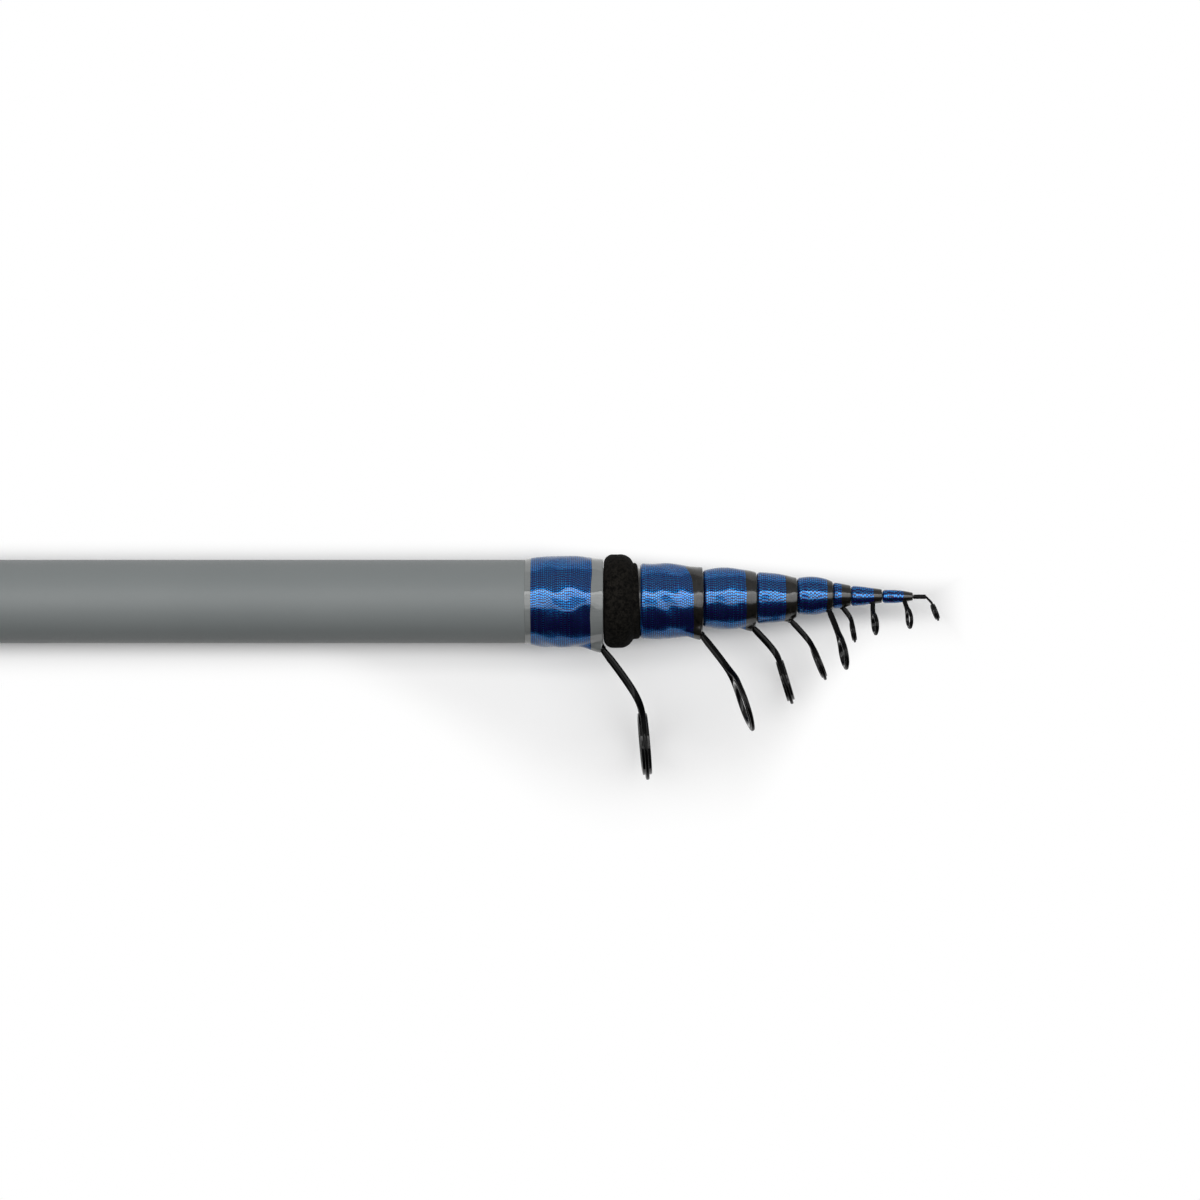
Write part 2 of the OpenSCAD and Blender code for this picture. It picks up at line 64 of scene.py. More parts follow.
scene = bpy.context.scene
scene.view_settings.view_transform = "Standard"
mm = 0.001
along = np.array((1.0, 0.0, 0.0))  # the rod's own direction


# camera: straight down on the front end, 0.3 mm a pixel at the rod's axis
cameraSet = {"over": (0.6491, 0.00045), "height": 1.15, "lens": 115.0, "sensor": 36.0}

topCamera = bpy.data.objects.new("topCamera", bpy.data.cameras.new("topCamera"))
topCamera.data.lens = cameraSet["lens"]
topCamera.data.sensor_width = cameraSet["sensor"]
topCamera.data.clip_end = 20.0
topCamera.location = (*cameraSet["over"], cameraSet["height"])
scene.collection.objects.link(topCamera)
scene.camera = topCamera


# shader helpers
finish = {}


def newMaterial(name):
    material = bpy.data.materials.new(name)
    material.use_nodes = True
    tree = material.node_tree
    tree.nodes.clear()
    surface = addNode(tree, "BsdfPrincipled")
    output = addNode(tree, "OutputMaterial")
    tree.links.new(surface.outputs[0], output.inputs[0])
    finish[name] = material
    return tree, surface


def feed(tree, socket, value):  # an output is linked, a number or a colour is set
    if isinstance(value, bpy.types.NodeSocket):
        tree.links.new(value, socket)
    else:
        socket.default_value = (*value, 1.0) if socket.type == "RGBA" else value


def addNode(tree, kind, fed=None, **settings):
    node = tree.nodes.new("ShaderNode" + kind)
    for key, value in settings.items():
        setattr(node, key, value)
    for key, value in (fed or {}).items():
        feed(tree, node.inputs[key], value)
    return node


def mathNode(tree, operation, *values):
    return addNode(tree, "Math", dict(enumerate(values)), operation=operation).outputs[0]


def times(tree, first, second):
    return mathNode(tree, "MULTIPLY", first, second)


def blendColour(tree, share, first, second):
    return addNode(tree, "Mix", {0: share, 6: first, 7: second}, data_type="RGBA").outputs[2]


def spread(tree, value, low, high, toLow=0.0, toHigh=1.0):
    limits = {"Value": value, "From Min": low, "From Max": high, "To Min": toLow, "To Max": toHigh}
    return addNode(tree, "MapRange", limits, interpolation_type="SMOOTHSTEP").outputs[0]


def newGroup(name, wanted, given):
    group = bpy.data.node_groups.new(name, "ShaderNodeTree")
    for label, number in wanted.items():
        socket = group.interface.new_socket(label, in_out="INPUT", socket_type="NodeSocketFloat")
        socket.default_value = number
    for label in given:
        group.interface.new_socket(label, in_out="OUTPUT", socket_type="NodeSocketFloat")
    return group, group.nodes.new("NodeGroupInput"), group.nodes.new("NodeGroupOutput")


def useGroup(tree, group, **fed):
    return addNode(tree, "Group", fed, node_tree=group).outputs


def bumpFrom(surface, height, depth, strength):
    tree = surface.id_data
    bump = addNode(tree, "Bump", {"Height": height, "Distance": depth, "Strength": strength})
    tree.links.new(bump.outputs[0], surface.inputs["Normal"])


def paint(surface, colour, roughness, **fed):
    for key, value in {"Base Color": colour, "Roughness": roughness, **fed}.items():
        feed(surface.id_data, surface.inputs[key], value)


def objectPlace(tree):
    return addNode(tree, "TexCoord").outputs["Object"]


def wrapPlace(tree):  # U runs round the rod and V along it, both in metres
    wrap = addNode(tree, "UVMap", uv_map="wrap").outputs[0]
    return wrap, addNode(tree, "SeparateXYZ", {0: wrap}).outputs


def facingOf(tree):
    return addNode(tree, "LayerWeight").outputs["Facing"]


def seenRays(tree):  # 1 for rays by which the camera, gloss or glass sees the room
    rays = addNode(tree, "LightPath").outputs
    plain = mathNode(tree, "MAXIMUM", rays["Is Camera Ray"], rays["Is Glossy Ray"])
    return mathNode(tree, "MAXIMUM", plain, rays["Is Transmission Ray"])


# fine grain and slow clouds, shared by most finishes
grainGroup, groupIn, groupOut = newGroup("fineGrain", {"Size": 400.0, "Cloud Size": 40.0}, ("Grain", "Cloud"))
place = objectPlace(grainGroup)
for label, key, detail in (("Grain", "Size", 3.0), ("Cloud", "Cloud Size", 2.0)):
    fed = {"Vector": place, "Scale": groupIn.outputs[key], "Detail": detail}
    cells = addNode(grainGroup, "TexNoise", fed)
    grainGroup.links.new(cells.outputs[0], groupOut.inputs[label])

# rubbed edges, from how sharply the surface turns
wearGroup, groupIn, groupOut = newGroup("rubbedEdge", {"Breakup": 900.0}, ("Wear",))
turnOfSurface = addNode(wearGroup, "NewGeometry").outputs["Pointiness"]
cells = addNode(wearGroup, "TexNoise",
                {"Vector": objectPlace(wearGroup), "Scale": groupIn.outputs["Breakup"]})
edge = spread(wearGroup, turnOfSurface, 0.52, 0.62)
broken = spread(wearGroup, cells.outputs[0], 0.45, 0.62)
wearGroup.links.new(times(wearGroup, edge, broken), groupOut.inputs["Wear"])

# turns of twisted thread
turnsGroup, groupIn, groupOut = newGroup("threadTurns", {"Pitch": 0.0005, "Fleck": 0.0006},
                                         ("Ridge", "Fleck", "Turn Shade"))
wrap, wrapParts = wrapPlace(turnsGroup)
turnCount = mathNode(turnsGroup, "DIVIDE", wrapParts[1], groupIn.outputs["Pitch"])
turnRow = mathNode(turnsGroup, "FLOOR", turnCount)
ridge = times(turnsGroup, mathNode(turnsGroup, "FRACT", turnCount), math.pi)
ridge = mathNode(turnsGroup, "SINE", ridge)
rowChance = addNode(turnsGroup, "TexWhiteNoise", {"W": turnRow}, noise_dimensions="1D").outputs[0]
drift = addNode(turnsGroup, "TexNoise",
                {"Vector": objectPlace(turnsGroup), "Scale": 760.0, "Detail": 3.0}).outputs[0]
beadAt = mathNode(turnsGroup, "DIVIDE", wrapParts[0], groupIn.outputs["Fleck"])
for source, share in ((turnRow, 0.5), (rowChance, 0.6), (drift, 1.1)):
    beadAt = mathNode(turnsGroup, "MULTIPLY_ADD", source, share, beadAt)
bead = mathNode(turnsGroup, "SINE", times(turnsGroup, beadAt, math.tau))
bead = mathNode(turnsGroup, "MULTIPLY_ADD", bead, 0.5, 0.5)
for label, source in (("Ridge", ridge), ("Turn Shade", rowChance), ("Fleck", bead)):
    turnsGroup.links.new(source, groupOut.inputs[label])

# faint spiral left on a blank by the tape that pressed it in the oven
tapeGroup, groupIn, groupOut = newGroup("tapeSpiral", {"Pitch": 0.002}, ("Tape", "Streak"))
wrap, wrapParts = wrapPlace(tapeGroup)
lean = mathNode(tapeGroup, "ADD", wrapParts[1], times(tapeGroup, wrapParts[0], 0.035))
tape = mathNode(tapeGroup, "FRACT", mathNode(tapeGroup, "DIVIDE", lean, groupIn.outputs["Pitch"]))
streakPlace = addNode(tapeGroup, "VectorMath", {0: wrap, 1: (2600.0, 60.0, 1.0)},
                      operation="MULTIPLY").outputs[0]
streak = addNode(tapeGroup, "TexNoise", {"Vector": streakPlace, "Scale": 1.0, "Detail": 2.0})
tapeGroup.links.new(spread(tapeGroup, tape, 0.0, 0.12), groupOut.inputs["Tape"])
tapeGroup.links.new(streak.outputs[0], groupOut.inputs["Streak"])


def grainOf(tree, size, cloud):
    return useGroup(tree, grainGroup, **{"Size": size, "Cloud Size": cloud})


def wornColour(tree, breakup, coloured, rubbed):
    return blendColour(tree, useGroup(tree, wearGroup, Breakup=breakup)["Wear"], coloured, rubbed)


def greyLacquer():
    tree, surface = newMaterial("greyLacquer")
    grain = grainOf(tree, 1500.0, 26.0)
    coloured = blendColour(tree, grain["Cloud"], (0.186, 0.203, 0.204), (0.210, 0.226, 0.226))
    paint(surface, wornColour(tree, 700.0, coloured, (0.36, 0.37, 0.36)),
          spread(tree, grain["Grain"], 0.3, 0.7, 0.42, 0.54), **{"Specular IOR Level": 0.4})
    bumpFrom(surface, grain["Grain"], 0.00003, 0.35)


def blueThread(dyed, shiny, glint, pitch):  # dyed fibres with shiny flecks twisted in
    tree, surface = newMaterial("blueThread")
    turns = useGroup(tree, turnsGroup, Pitch=pitch, Fleck=0.0007)
    grain = grainOf(tree, 900.0, 160.0)
    facing = facingOf(tree)
    # the height across each turn also sets the colour: the grooves between turns go to near black (0.003,
    # 0.001, 0.03) and lose their flecks, a painted shade in the grooves; the same height drives the bump
    crestHeightWithGrooveShade = mathNode(tree, "POWER", turns["Ridge"], 0.85)
    fleckShareWithGrooveShade = times(tree, turns["Fleck"], crestHeightWithGrooveShade)
    foil = blendColour(tree, times(tree, turns["Turn Shade"], grain["Cloud"]), shiny, glint)
    dye = blendColour(tree, times(tree, crestHeightWithGrooveShade, grain["Grain"]), (0.003, 0.001, 0.03), dyed)
    shine = times(tree, spread(tree, fleckShareWithGrooveShade, 0.1, 0.26),
                  spread(tree, facing, 0.25, 0.52, 1.0, 0.3))  # less shine at the rim
    paint(surface, blendColour(tree, spread(tree, fleckShareWithGrooveShade, 0.2, 0.5), dye, foil),
          spread(tree, turns["Turn Shade"], 0.0, 1.0, 0.21, 0.28),
          **{"Metallic": shine, "Coat Weight": spread(tree, facing, 0.08, 0.42, 1.0, 0.32),
             "Coat Roughness": 0.03, "Coat IOR": 1.45, "Specular IOR Level": 0.05})
    bumpFrom(surface, crestHeightWithGrooveShade, 0.00006, 0.4)


def clearResin(low, high, gloss):  # over the grey lacquer beside the butt's winding
    tree, surface = newMaterial("greyResin")
    tape = useGroup(tree, tapeGroup, Pitch=0.0019)
    grain = grainOf(tree, 1200.0, 140.0)
    coloured = blendColour(tree, tape["Streak"], low, high)
    coloured = blendColour(tree, times(tree, grain["Cloud"], 0.35), coloured, low)
    paint(surface, coloured, spread(tree, grain["Grain"], 0.3, 0.7, 0.4, 0.52),
          **{"Coat Weight": 1.0, "Coat Roughness": 0.04, "Coat IOR": gloss, "Specular IOR Level": 0.05})
    bumpFrom(surface, tape["Tape"], 0.00002, 0.3)


def bandResin():  # brown-black resin brushed over the bare blank at a mouth
    tree, surface = newMaterial("darkResin")
    tape = useGroup(tree, tapeGroup, Pitch=0.0019)
    grain = grainOf(tree, 1500.0, 700.0)
    coloured = blendColour(tree, tape["Streak"], (0.0022, 0.0018, 0.0014), (0.0135, 0.0112, 0.0088))
    coloured = blendColour(tree, spread(tree, grain["Cloud"], 0.45, 0.65), coloured, (0.0012, 0.001, 0.0008))
    paint(surface, coloured, spread(tree, grain["Cloud"], 0.35, 0.65, 0.13, 0.26),
          **{"Coat Weight": spread(tree, facingOf(tree), 0.06, 0.4, 0.8, 0.0),
             "Coat Roughness": 0.06, "Coat IOR": 1.4, "Specular IOR Level": 0.5})
    bumpFrom(surface, mathNode(tree, "ADD", tape["Tape"], grain["Cloud"]), 0.00005, 0.6)


def carbonBlank():
    tree, surface = newMaterial("carbonBlank")
    tape = useGroup(tree, tapeGroup, Pitch=0.0021)
    coloured = blendColour(tree, tape["Streak"], (0.009, 0.008, 0.008), (0.034, 0.030, 0.027))
    paint(surface, coloured, spread(tree, tape["Streak"], 0.3, 0.7, 0.26, 0.4),
          **{"Coat Weight": 0.6, "Coat Roughness": 0.12})
    bumpFrom(surface, tape["Tape"], 0.00003, 0.6)


def foamCells():
    tree, surface = newMaterial("foamCells")
    grain = grainOf(tree, 2400.0, 900.0)
    pores = times(tree, grain["Grain"], grain["Cloud"])
    coloured = blendColour(tree, spread(tree, pores, 0.12, 0.4),
                           (0.0012, 0.0012, 0.0011), (0.014, 0.0125, 0.0105))
    paint(surface, coloured, spread(tree, grain["Grain"], 0.3, 0.7, 0.8, 0.95),
          **{"Specular IOR Level": 0.06})
    bumpFrom(surface, pores, 0.00022, 0.9)


def blackGloss(name, colour, lighter, rough, size, rubbed, coat=None, **fed):
    tree, surface = newMaterial(name)
    grain = grainOf(tree, size, 120.0)
    coloured = wornColour(tree, 1500.0, blendColour(tree, grain["Cloud"], colour, lighter), rubbed)
    if coat:
        fed["Coat Weight"] = spread(tree, facingOf(tree), 0.06, 0.4, *coat)
    paint(surface, coloured, spread(tree, grain["Grain"], 0.3, 0.7, *rough), **fed)
    bumpFrom(surface, grain["Grain"], 0.00001, 0.3)


def bareMetal(name, colour, dark, rough, size):
    tree, surface = newMaterial(name)
    grain = grainOf(tree, size, 200.0)
    paint(surface, blendColour(tree, grain["Cloud"], dark, colour),
          spread(tree, grain["Grain"], 0.3, 0.7, *rough), Metallic=1.0)
    bumpFrom(surface, grain["Grain"], 0.00001, 0.25)


greyLacquer()
blueThread((0.015, 0.0015, 0.12), (0.002, 0.15, 0.48), (0.006, 0.28, 0.66), 0.0006)
bandResin()
clearResin((0.165, 0.177, 0.177), (0.222, 0.234, 0.232), 1.62)
carbonBlank()
foamCells()
blackGloss("guideBlack", (0.0008, 0.0008, 0.0009), (0.0018, 0.0018, 0.002), (0.2, 0.3), 1800.0,
           (0.006, 0.006, 0.006), coat=(0.17, 0.01),
           **{"Specular IOR Level": 0.06, "Coat IOR": 1.48, "Coat Roughness": 0.04})
blackGloss("ringCeramic", (0.002, 0.002, 0.0023), (0.0034, 0.0034, 0.00391), (0.03, 0.06), 2600.0,
           (0.012, 0.012, 0.013), **{"Specular IOR Level": 0.36})
blackGloss("capAnodised", (0.016, 0.017, 0.019), (0.0272, 0.0289, 0.0323), (0.3, 0.42), 2200.0,
           (0.09, 0.09, 0.09), Metallic=0.8)
blackGloss("softRubber", (0.01, 0.01, 0.01), (0.017, 0.017, 0.017), (0.68, 0.82), 1600.0, (0.03, 0.03, 0.03))
blackGloss("seatBlack", (0.013, 0.013, 0.014), (0.0221, 0.0221, 0.0238), (0.34, 0.46), 2000.0,
           (0.13, 0.13, 0.13), Metallic=0.55)
blackGloss("hoodBlack", (0.008, 0.008, 0.009), (0.0136, 0.0136, 0.0153), (0.22, 0.32), 2000.0,
           (0.06, 0.06, 0.06), Metallic=0.4)
bareMetal("bushBrass", (0.62, 0.45, 0.18), (0.42, 0.29, 0.1), (0.3, 0.42), 1500.0)
bareMetal("pinSteel", (0.55, 0.56, 0.58), (0.38, 0.39, 0.41), (0.22, 0.32), 1900.0)
print("finishes:", len(finish))


# mesh helpers


def nodePoints(name):
    data = nodes[name].data
    flat = np.empty(len(data.vertices) * 3, np.float32)
    data.vertices.foreach_get("co", flat)
    return np.unique(np.round(flat.reshape(-1, 3).astype(float), 7), axis=0)


def nodeReach(name, middle=(0, 0, 0)):  # points, how far each is from the axis, and both ends
    points = nodePoints(name)
    reach = np.hypot(points[:, 1] - middle[1], points[:, 2] - middle[2])
    return points, reach, points[:, 0].min(), points[:, 0].max()


def roundFit(points):  # middle and radius of the round edge that the points lie on
    y, z = points[:, 1], points[:, 2]
    rows = np.c_[2 * y, 2 * z, np.ones(len(y))]
    midY, midZ, rest = np.linalg.lstsq(rows, y * y + z * z, rcond=None)[0]
    return np.array((0.0, midY, midZ)), math.sqrt(rest + midY * midY + midZ * midZ)


def endEdge(points, x, outer=True):  # the outer or inner round edge of a tube at one place
    ring = points[np.abs(points[:, 0] - x) < 2e-6]
    reach = np.hypot(ring[:, 1] - ring[:, 1].mean(), ring[:, 2] - ring[:, 2].mean())
    middle = (reach.min() + reach.max()) / 2
    kept = ring[reach >= middle] if outer else ring[reach < middle]
    return roundFit(kept)


def unit(vector):
    return vector / np.linalg.norm(vector)


def rounded(corners, radius, steps=4):  # a closed outline with its corners softened
    corners = [np.array(corner, float) for corner in corners]
    softened = []
    for k, corner in enumerate(corners):
        before, after = corners[k - 1] - corner, corners[(k + 1) % len(corners)] - corner
        cut = min(radius, 0.45 * np.linalg.norm(before), 0.45 * np.linalg.norm(after))
        start, end = corner + unit(before) * cut, corner + unit(after) * cut
        for t in np.linspace(0, 1, steps + 1):
            softened.append((1 - t) ** 2 * start + 2 * t * (1 - t) * corner + t * t * end)
    return np.array(softened)


def newPot():
    return {"points": [], "faces": [], "uvs": []}


def addGrid(pot, grid, aroundLength, closed=True):  # rows run along the piece, each row is a ring
    rows, count = grid.shape[:2]
    base = len(pot["points"])
    pot["points"].extend(grid.reshape(-1, 3).tolist())
    steps = np.linalg.norm(np.diff(np.concatenate((grid, grid[:1])).mean(axis=1), axis=0), axis=1)
    reach = np.linalg.norm(np.diff(np.concatenate((grid, grid[:1]))[:, 0], axis=0), axis=1)
    v = np.concatenate(((0.0,), np.cumsum(np.maximum(steps, reach))))
    u = np.linspace(0, aroundLength, count + 1)
    for i in range(rows if closed else rows - 1):
        low, high = base + i * count, base + (i + 1) % rows * count
        for j in range(count):
            k = (j + 1) % count
            pot["faces"].append((low + j, high + j, high + k, low + k))
            pot["uvs"].extend(((u[j], v[i]), (u[j], v[i + 1]), (u[j + 1], v[i + 1]), (u[j + 1], v[i])))
    if not closed:
        for i in (0, rows - 1):
            pot["faces"].append(tuple(base + i * count + j for j in range(count)))
            pot["uvs"].extend((u[j], v[i]) for j in range(count))
    return pot


def fullTurn(count):
    return np.linspace(0, math.tau, count, endpoint=False)


def roundGrid(x, r, angle, middle=(0, 0, 0)):
    y, z = middle[1] + r * np.cos(angle), middle[2] + r * np.sin(angle)
    return np.stack((x + 0 * y, y, z), axis=-1)


def turnedGrid(outline, count, middle=(0, 0, 0)):  # outline points are (place along, radius)
    return roundGrid(outline[:, :1], outline[:, 1:], fullTurn(count), middle)


def placePiece(name, mesh, work, paintName, body, node, crease):
    bmesh.ops.recalc_face_normals(work, faces=work.faces)
    work.to_mesh(mesh)
    work.free()
    mesh.shade_smooth()
    mesh.set_sharp_from_angle(angle=math.radians(crease))
    mesh.materials.clear()
    mesh.materials.append(finish[paintName])
    piece = bpy.data.objects.new(name, mesh)
    scene.collection.objects.link(piece)
    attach(piece, body)
    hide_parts(node)
    return piece


def makePiece(name, pot, paintName, body, node, crease=40):
    mesh = bpy.data.meshes.new(name)
    mesh.from_pydata(pot["points"], [], pot["faces"])
    layer = mesh.uv_layers.new(name="wrap")
    layer.data.foreach_set("uv", np.ravel(np.array(pot["uvs"], np.float32)))
    work = bmesh.new()
    work.from_mesh(mesh)
    return placePiece(name, mesh, work, paintName, body, node, crease)


def sectionName(i):
    return "butt" if i == 0 else f"section_{i + 1}"


# blanks: the butt, seven hollow sections and the solid tip
blankSet = {"around": 128, "edge": 0.25 * mm, "tipAround": 48}

blanks = []
for i in range(8):
    points, reach, rear, mouth = nodeReach(sectionName(i) + "_tube")
    middle, mouthR = endEdge(points, mouth)
    rearR, boreR, rearBoreR = (endEdge(points, x, outer)[1]
                               for x, outer in ((rear, True), (mouth, False), (rear, False)))
    outline = [(rear, rearR), (mouth, mouthR), (mouth, boreR), (rear, rearBoreR)]
    if i == 0:
        places = np.unique(points[:, 0])
        step = places[1]
        outer = [(x, reach[points[:, 0] == x].max()) for x in places if x > step or x == rear]
        grips = [place for place in outer if place[1] > rearR - 1e-6]
        slims = [place for place in outer if place[1] < mouthR + 1e-6]
        stepR = reach[np.abs(points[:, 0] - step) < 2e-6]
        outline = [(rear, rearR), grips[-1], slims[0], (mouth, mouthR), (mouth, boreR),
                   (step, stepR.min()), (step, stepR.max()), (rear, rearBoreR)]
    grid = turnedGrid(rounded(outline, blankSet["edge"]), blankSet["around"], middle)
    name, coated, slot = f"sectionTube{i + 1}", "carbonBlank", "carbon_blank"
    if i == 0:
        name, coated, slot = "buttTube", "greyLacquer", "grey_blank"
    makePiece(name, addGrid(newPot(), grid, math.tau * mouthR), coated, sectionName(i),
              sectionName(i) + "_tube", crease=30)
    slope = (mouthR - rearR) / (mouth - rear) if i else 0.0
    blanks.append(SimpleNamespace(mouth=mouth, middle=middle, mouthR=mouthR, slope=slope))

points = nodePoints("tip_blank")
tipPlaces = np.unique(points[:, 0])
tipEdges = [roundFit(points[points[:, 0] == x]) for x in tipPlaces]
tipMiddle = tipEdges[-1][0]
tipOutline = [(x, edge[1]) for x, edge in zip(tipPlaces, tipEdges)]
tipOutline = np.array([(tipOutline[0][0], 0.05 * mm), *tipOutline, (tipOutline[-1][0], 0.05 * mm)])
grid = turnedGrid(tipOutline, blankSet["tipAround"], tipMiddle)
makePiece("tipBlank", addGrid(newPot(), grid, math.tau * tipEdges[-1][1], False), "carbonBlank", "tip",
          "tip_blank", crease=30)
print("blanks: 9")


def blankRadius(i, x):
    return blanks[i].mouthR + blanks[i].slope * (x - blanks[i].mouth)


# guides: where each one stands, read from its insert and frame
guideSet = {
    "legBack": (0.9, 0.8, 1.5, 2.1, 1.2, 2.5, 2.7, 2.6), "legThick": (1.7, 1.35, 1.4, 1.25, 1.2, 1.1, 1, 0.9),
    "wireWide": (1.2, 0.95, 0.95, 0.8, 0.65, 0.55, 0.45, 0.4), "footLong": (10, 9, 8, 6, 5, 3, 3, 3),
    "bend": (0.18, 0.18, 0.2, 0.2, 0.3, 0.3, 0.35, 0.4), "wireGap": 0.35, "footThin": 0.3, "footSteps": 8,
    "legSteps": 60, "part": 0.8, "meet": 82, "fuller": 1.36, "wireAround": 20, "ringAround": 112,
    "knotSteps": 17, "knotAround": 28, "rimAround": 20, "waySteps": 25, "pull": 0.42,
    "arc": (4, 30, 9),  # degrees that a wire runs on along the rim, and steps
    "slim": (1, 0.82, 0.95, 0.92, 0.95, 0.95, 1, 1),  # share of the insert's length left after polishing
}


def ringFacts(insertName, frameName, middle):
    points = nodePoints(insertName)
    centre = points.mean(0)
    local = points - centre
    spreadOf = np.linalg.eigh(np.cov(local.T))
    axis = spreadOf[1][:, 0] * np.sign(spreadOf[1][0, 0])
    out = unit((centre - middle) * (0, 1, 1))
    side = np.cross(along, out)
    down = unit(np.cross(axis, side))
    down = down * np.sign(down.dot(out))
    reach = np.linalg.norm(local - np.outer(local @ axis, axis), axis=1)
    rim = nodePoints(frameName) - centre
    rimReach = np.linalg.norm(rim - np.outer(rim @ axis, axis), axis=1)
    far = rim @ down > 0.5 * reach.max()
    rimOut, rimIn = rimReach[far].max(), rimReach[far].min()
    return SimpleNamespace(centre=centre, axis=axis, out=out, down=down, side=side, bore=reach.min(),
                           insertR=reach.max(), insertLong=np.ptp(local @ axis), rimR=rimOut, rimIn=rimIn,
                           rimMid=(rimOut + rimIn) / 2, rimThick=np.ptp(rim[far] @ axis))


def aroundRing(facts, outline, count):  # outline points are (along the ring's axis, radius)
    angle = fullTurn(count)
    across = np.cross(facts.axis, facts.down)
    turn = np.outer(np.cos(angle), facts.down) + np.outer(np.sin(angle), across)
    place, radius = outline[:, 0][:, None, None], outline[:, 1][:, None, None]
    return facts.centre + place * facts.axis + radius * turn


def sweptWire(path, lifts, wides, thicks, count):  # thick along the lifts, wide across them
    headings = np.gradient(path, axis=0)
    headings /= np.linalg.norm(headings, axis=1)[:, None]
    angle = fullTurn(count)
    rows = []
    for at, heading, lift, wide, thick in zip(path, headings, lifts, wides, thicks):
        across = unit(np.cross(heading, lift))
        lift = np.cross(across, heading)
        rows.append(at + np.outer(np.cos(angle) * wide / 2, across)
                    + np.outer(np.sin(angle) * thick / 2, lift))
    return np.array(rows)


def bentPath(start, bend, end, steps):
    t = np.linspace(0, 1, steps + 1)[:, None]
    return (1 - t) ** 2 * start + 2 * t * (1 - t) * bend + t * t * end


def rimOutline(facts):
    wide, thick = facts.rimR - facts.rimIn, facts.rimThick
    angle = fullTurn(guideSet["rimAround"])
    c = np.sign(np.cos(angle)) * np.abs(np.cos(angle)) ** 0.7
    s = np.sign(np.sin(angle)) * np.abs(np.sin(angle)) ** 0.7
    return np.c_[s * thick / 2, facts.rimIn + wide / 2 + c * wide / 2]


def insertOutline(facts, slim=1.0):
    wide, half = facts.insertR - facts.bore, slim * facts.insertLong / 2
    angle = np.linspace(-math.pi / 2, math.pi / 2, 25)
    crown = np.c_[half * np.sin(angle), facts.bore + 0.7 * wide * (1 - np.cos(angle))]
    angle = np.linspace(0, math.pi / 2, 6)
    lip = 0.22 * wide
    front = np.c_[half - lip * (1 - np.cos(angle)), facts.insertR - lip * (1 - np.sin(angle))]
    return np.concatenate((crown, front, front[::-1] * (-1, 1)))


guides = [ringFacts(f"guide_{i + 1}_insert", f"guide_{i + 1}_frame", blanks[i].middle) for i in range(8)]


def legPlace(i):
    return blanks[i].mouth - guideSet["legBack"][i] * mm


def legSize(i):  # thickness, and width of both wires together
    return guideSet["legThick"][i] * mm, (2 * guideSet["wireWide"][i] + guideSet["wireGap"]) * mm


def legPath(i):  # the middle line of both wires, from the leg's root to the top of the ring
    facts, blank = guides[i], blanks[i]
    legX = legPlace(i)
    height = blankRadius(i, legX) + guideSet["legThick"][i] * mm / 2
    root = blank.middle + along * legX + facts.out * height
    top = facts.centre - facts.rimMid * facts.down
    bend = top - guideSet["bend"][i] * np.linalg.norm(top - root) * facts.down
    return bentPath(root, bend, top, guideSet["legSteps"])


def onRim(facts, across, angle):  # a place on the rim, turned from its top
    return facts.centre + facts.rimMid * (np.sin(angle) * across - np.cos(angle) * facts.down)


def partedWire(facts, leg, sign, apart):  # one wire leaves the leg and runs on round the ring
    heading = unit(leg[-1] - leg[-2])
    across = np.cross(facts.axis, facts.down)
    across = across * np.sign(across.dot(facts.side)) * sign
    meet = math.radians(guideSet["meet"])
    start = leg[-1] + facts.side * sign * apart
    end = onRim(facts, across, meet)
    onward = math.sin(meet) * facts.down + math.cos(meet) * across
    pull = guideSet["pull"] * np.linalg.norm(end - start)
    t = np.linspace(0, 1, guideSet["waySteps"])[1:, None]
    way = ((1 - t) ** 3 * start + 3 * t * (1 - t) ** 2 * (start + heading * pull)
           + 3 * t * t * (1 - t) * (end - onward * pull) + t ** 3 * end)
    turn = meet + np.radians(np.linspace(*guideSet["arc"]))[:, None]
    return np.concatenate((way, onRim(facts, across, turn)))


def legKnot(pot, i):  # bead of black resin where the wires leave the winding
    facts = guides[i]
    thick, wide = legSize(i)
    big = min(1.0, blanks[i].mouthR / (8 * mm))
    leg = legPath(i)
    t = np.linspace(0, 1, guideSet["knotSteps"])
    heading = unit(leg[1] - leg[0])
    path = leg[0] + np.outer(thick * (1.75 * t - 0.55), heading)
    bulge = np.sqrt(np.clip(1 - ((t - 0.45) / 0.56) ** 2, 0.001, 1)) * (1 + 0.12 * np.sin(9 * t + i))
    lifts = np.tile(np.cross(facts.side, heading), (len(t), 1))
    wides, thicks = bulge * (wide + 0.45 * thick * big), bulge * (1.2 + 0.35 * big) * thick
    addGrid(pot, sweptWire(path, lifts, wides, thicks, guideSet["knotAround"]), 2 * wide, False)


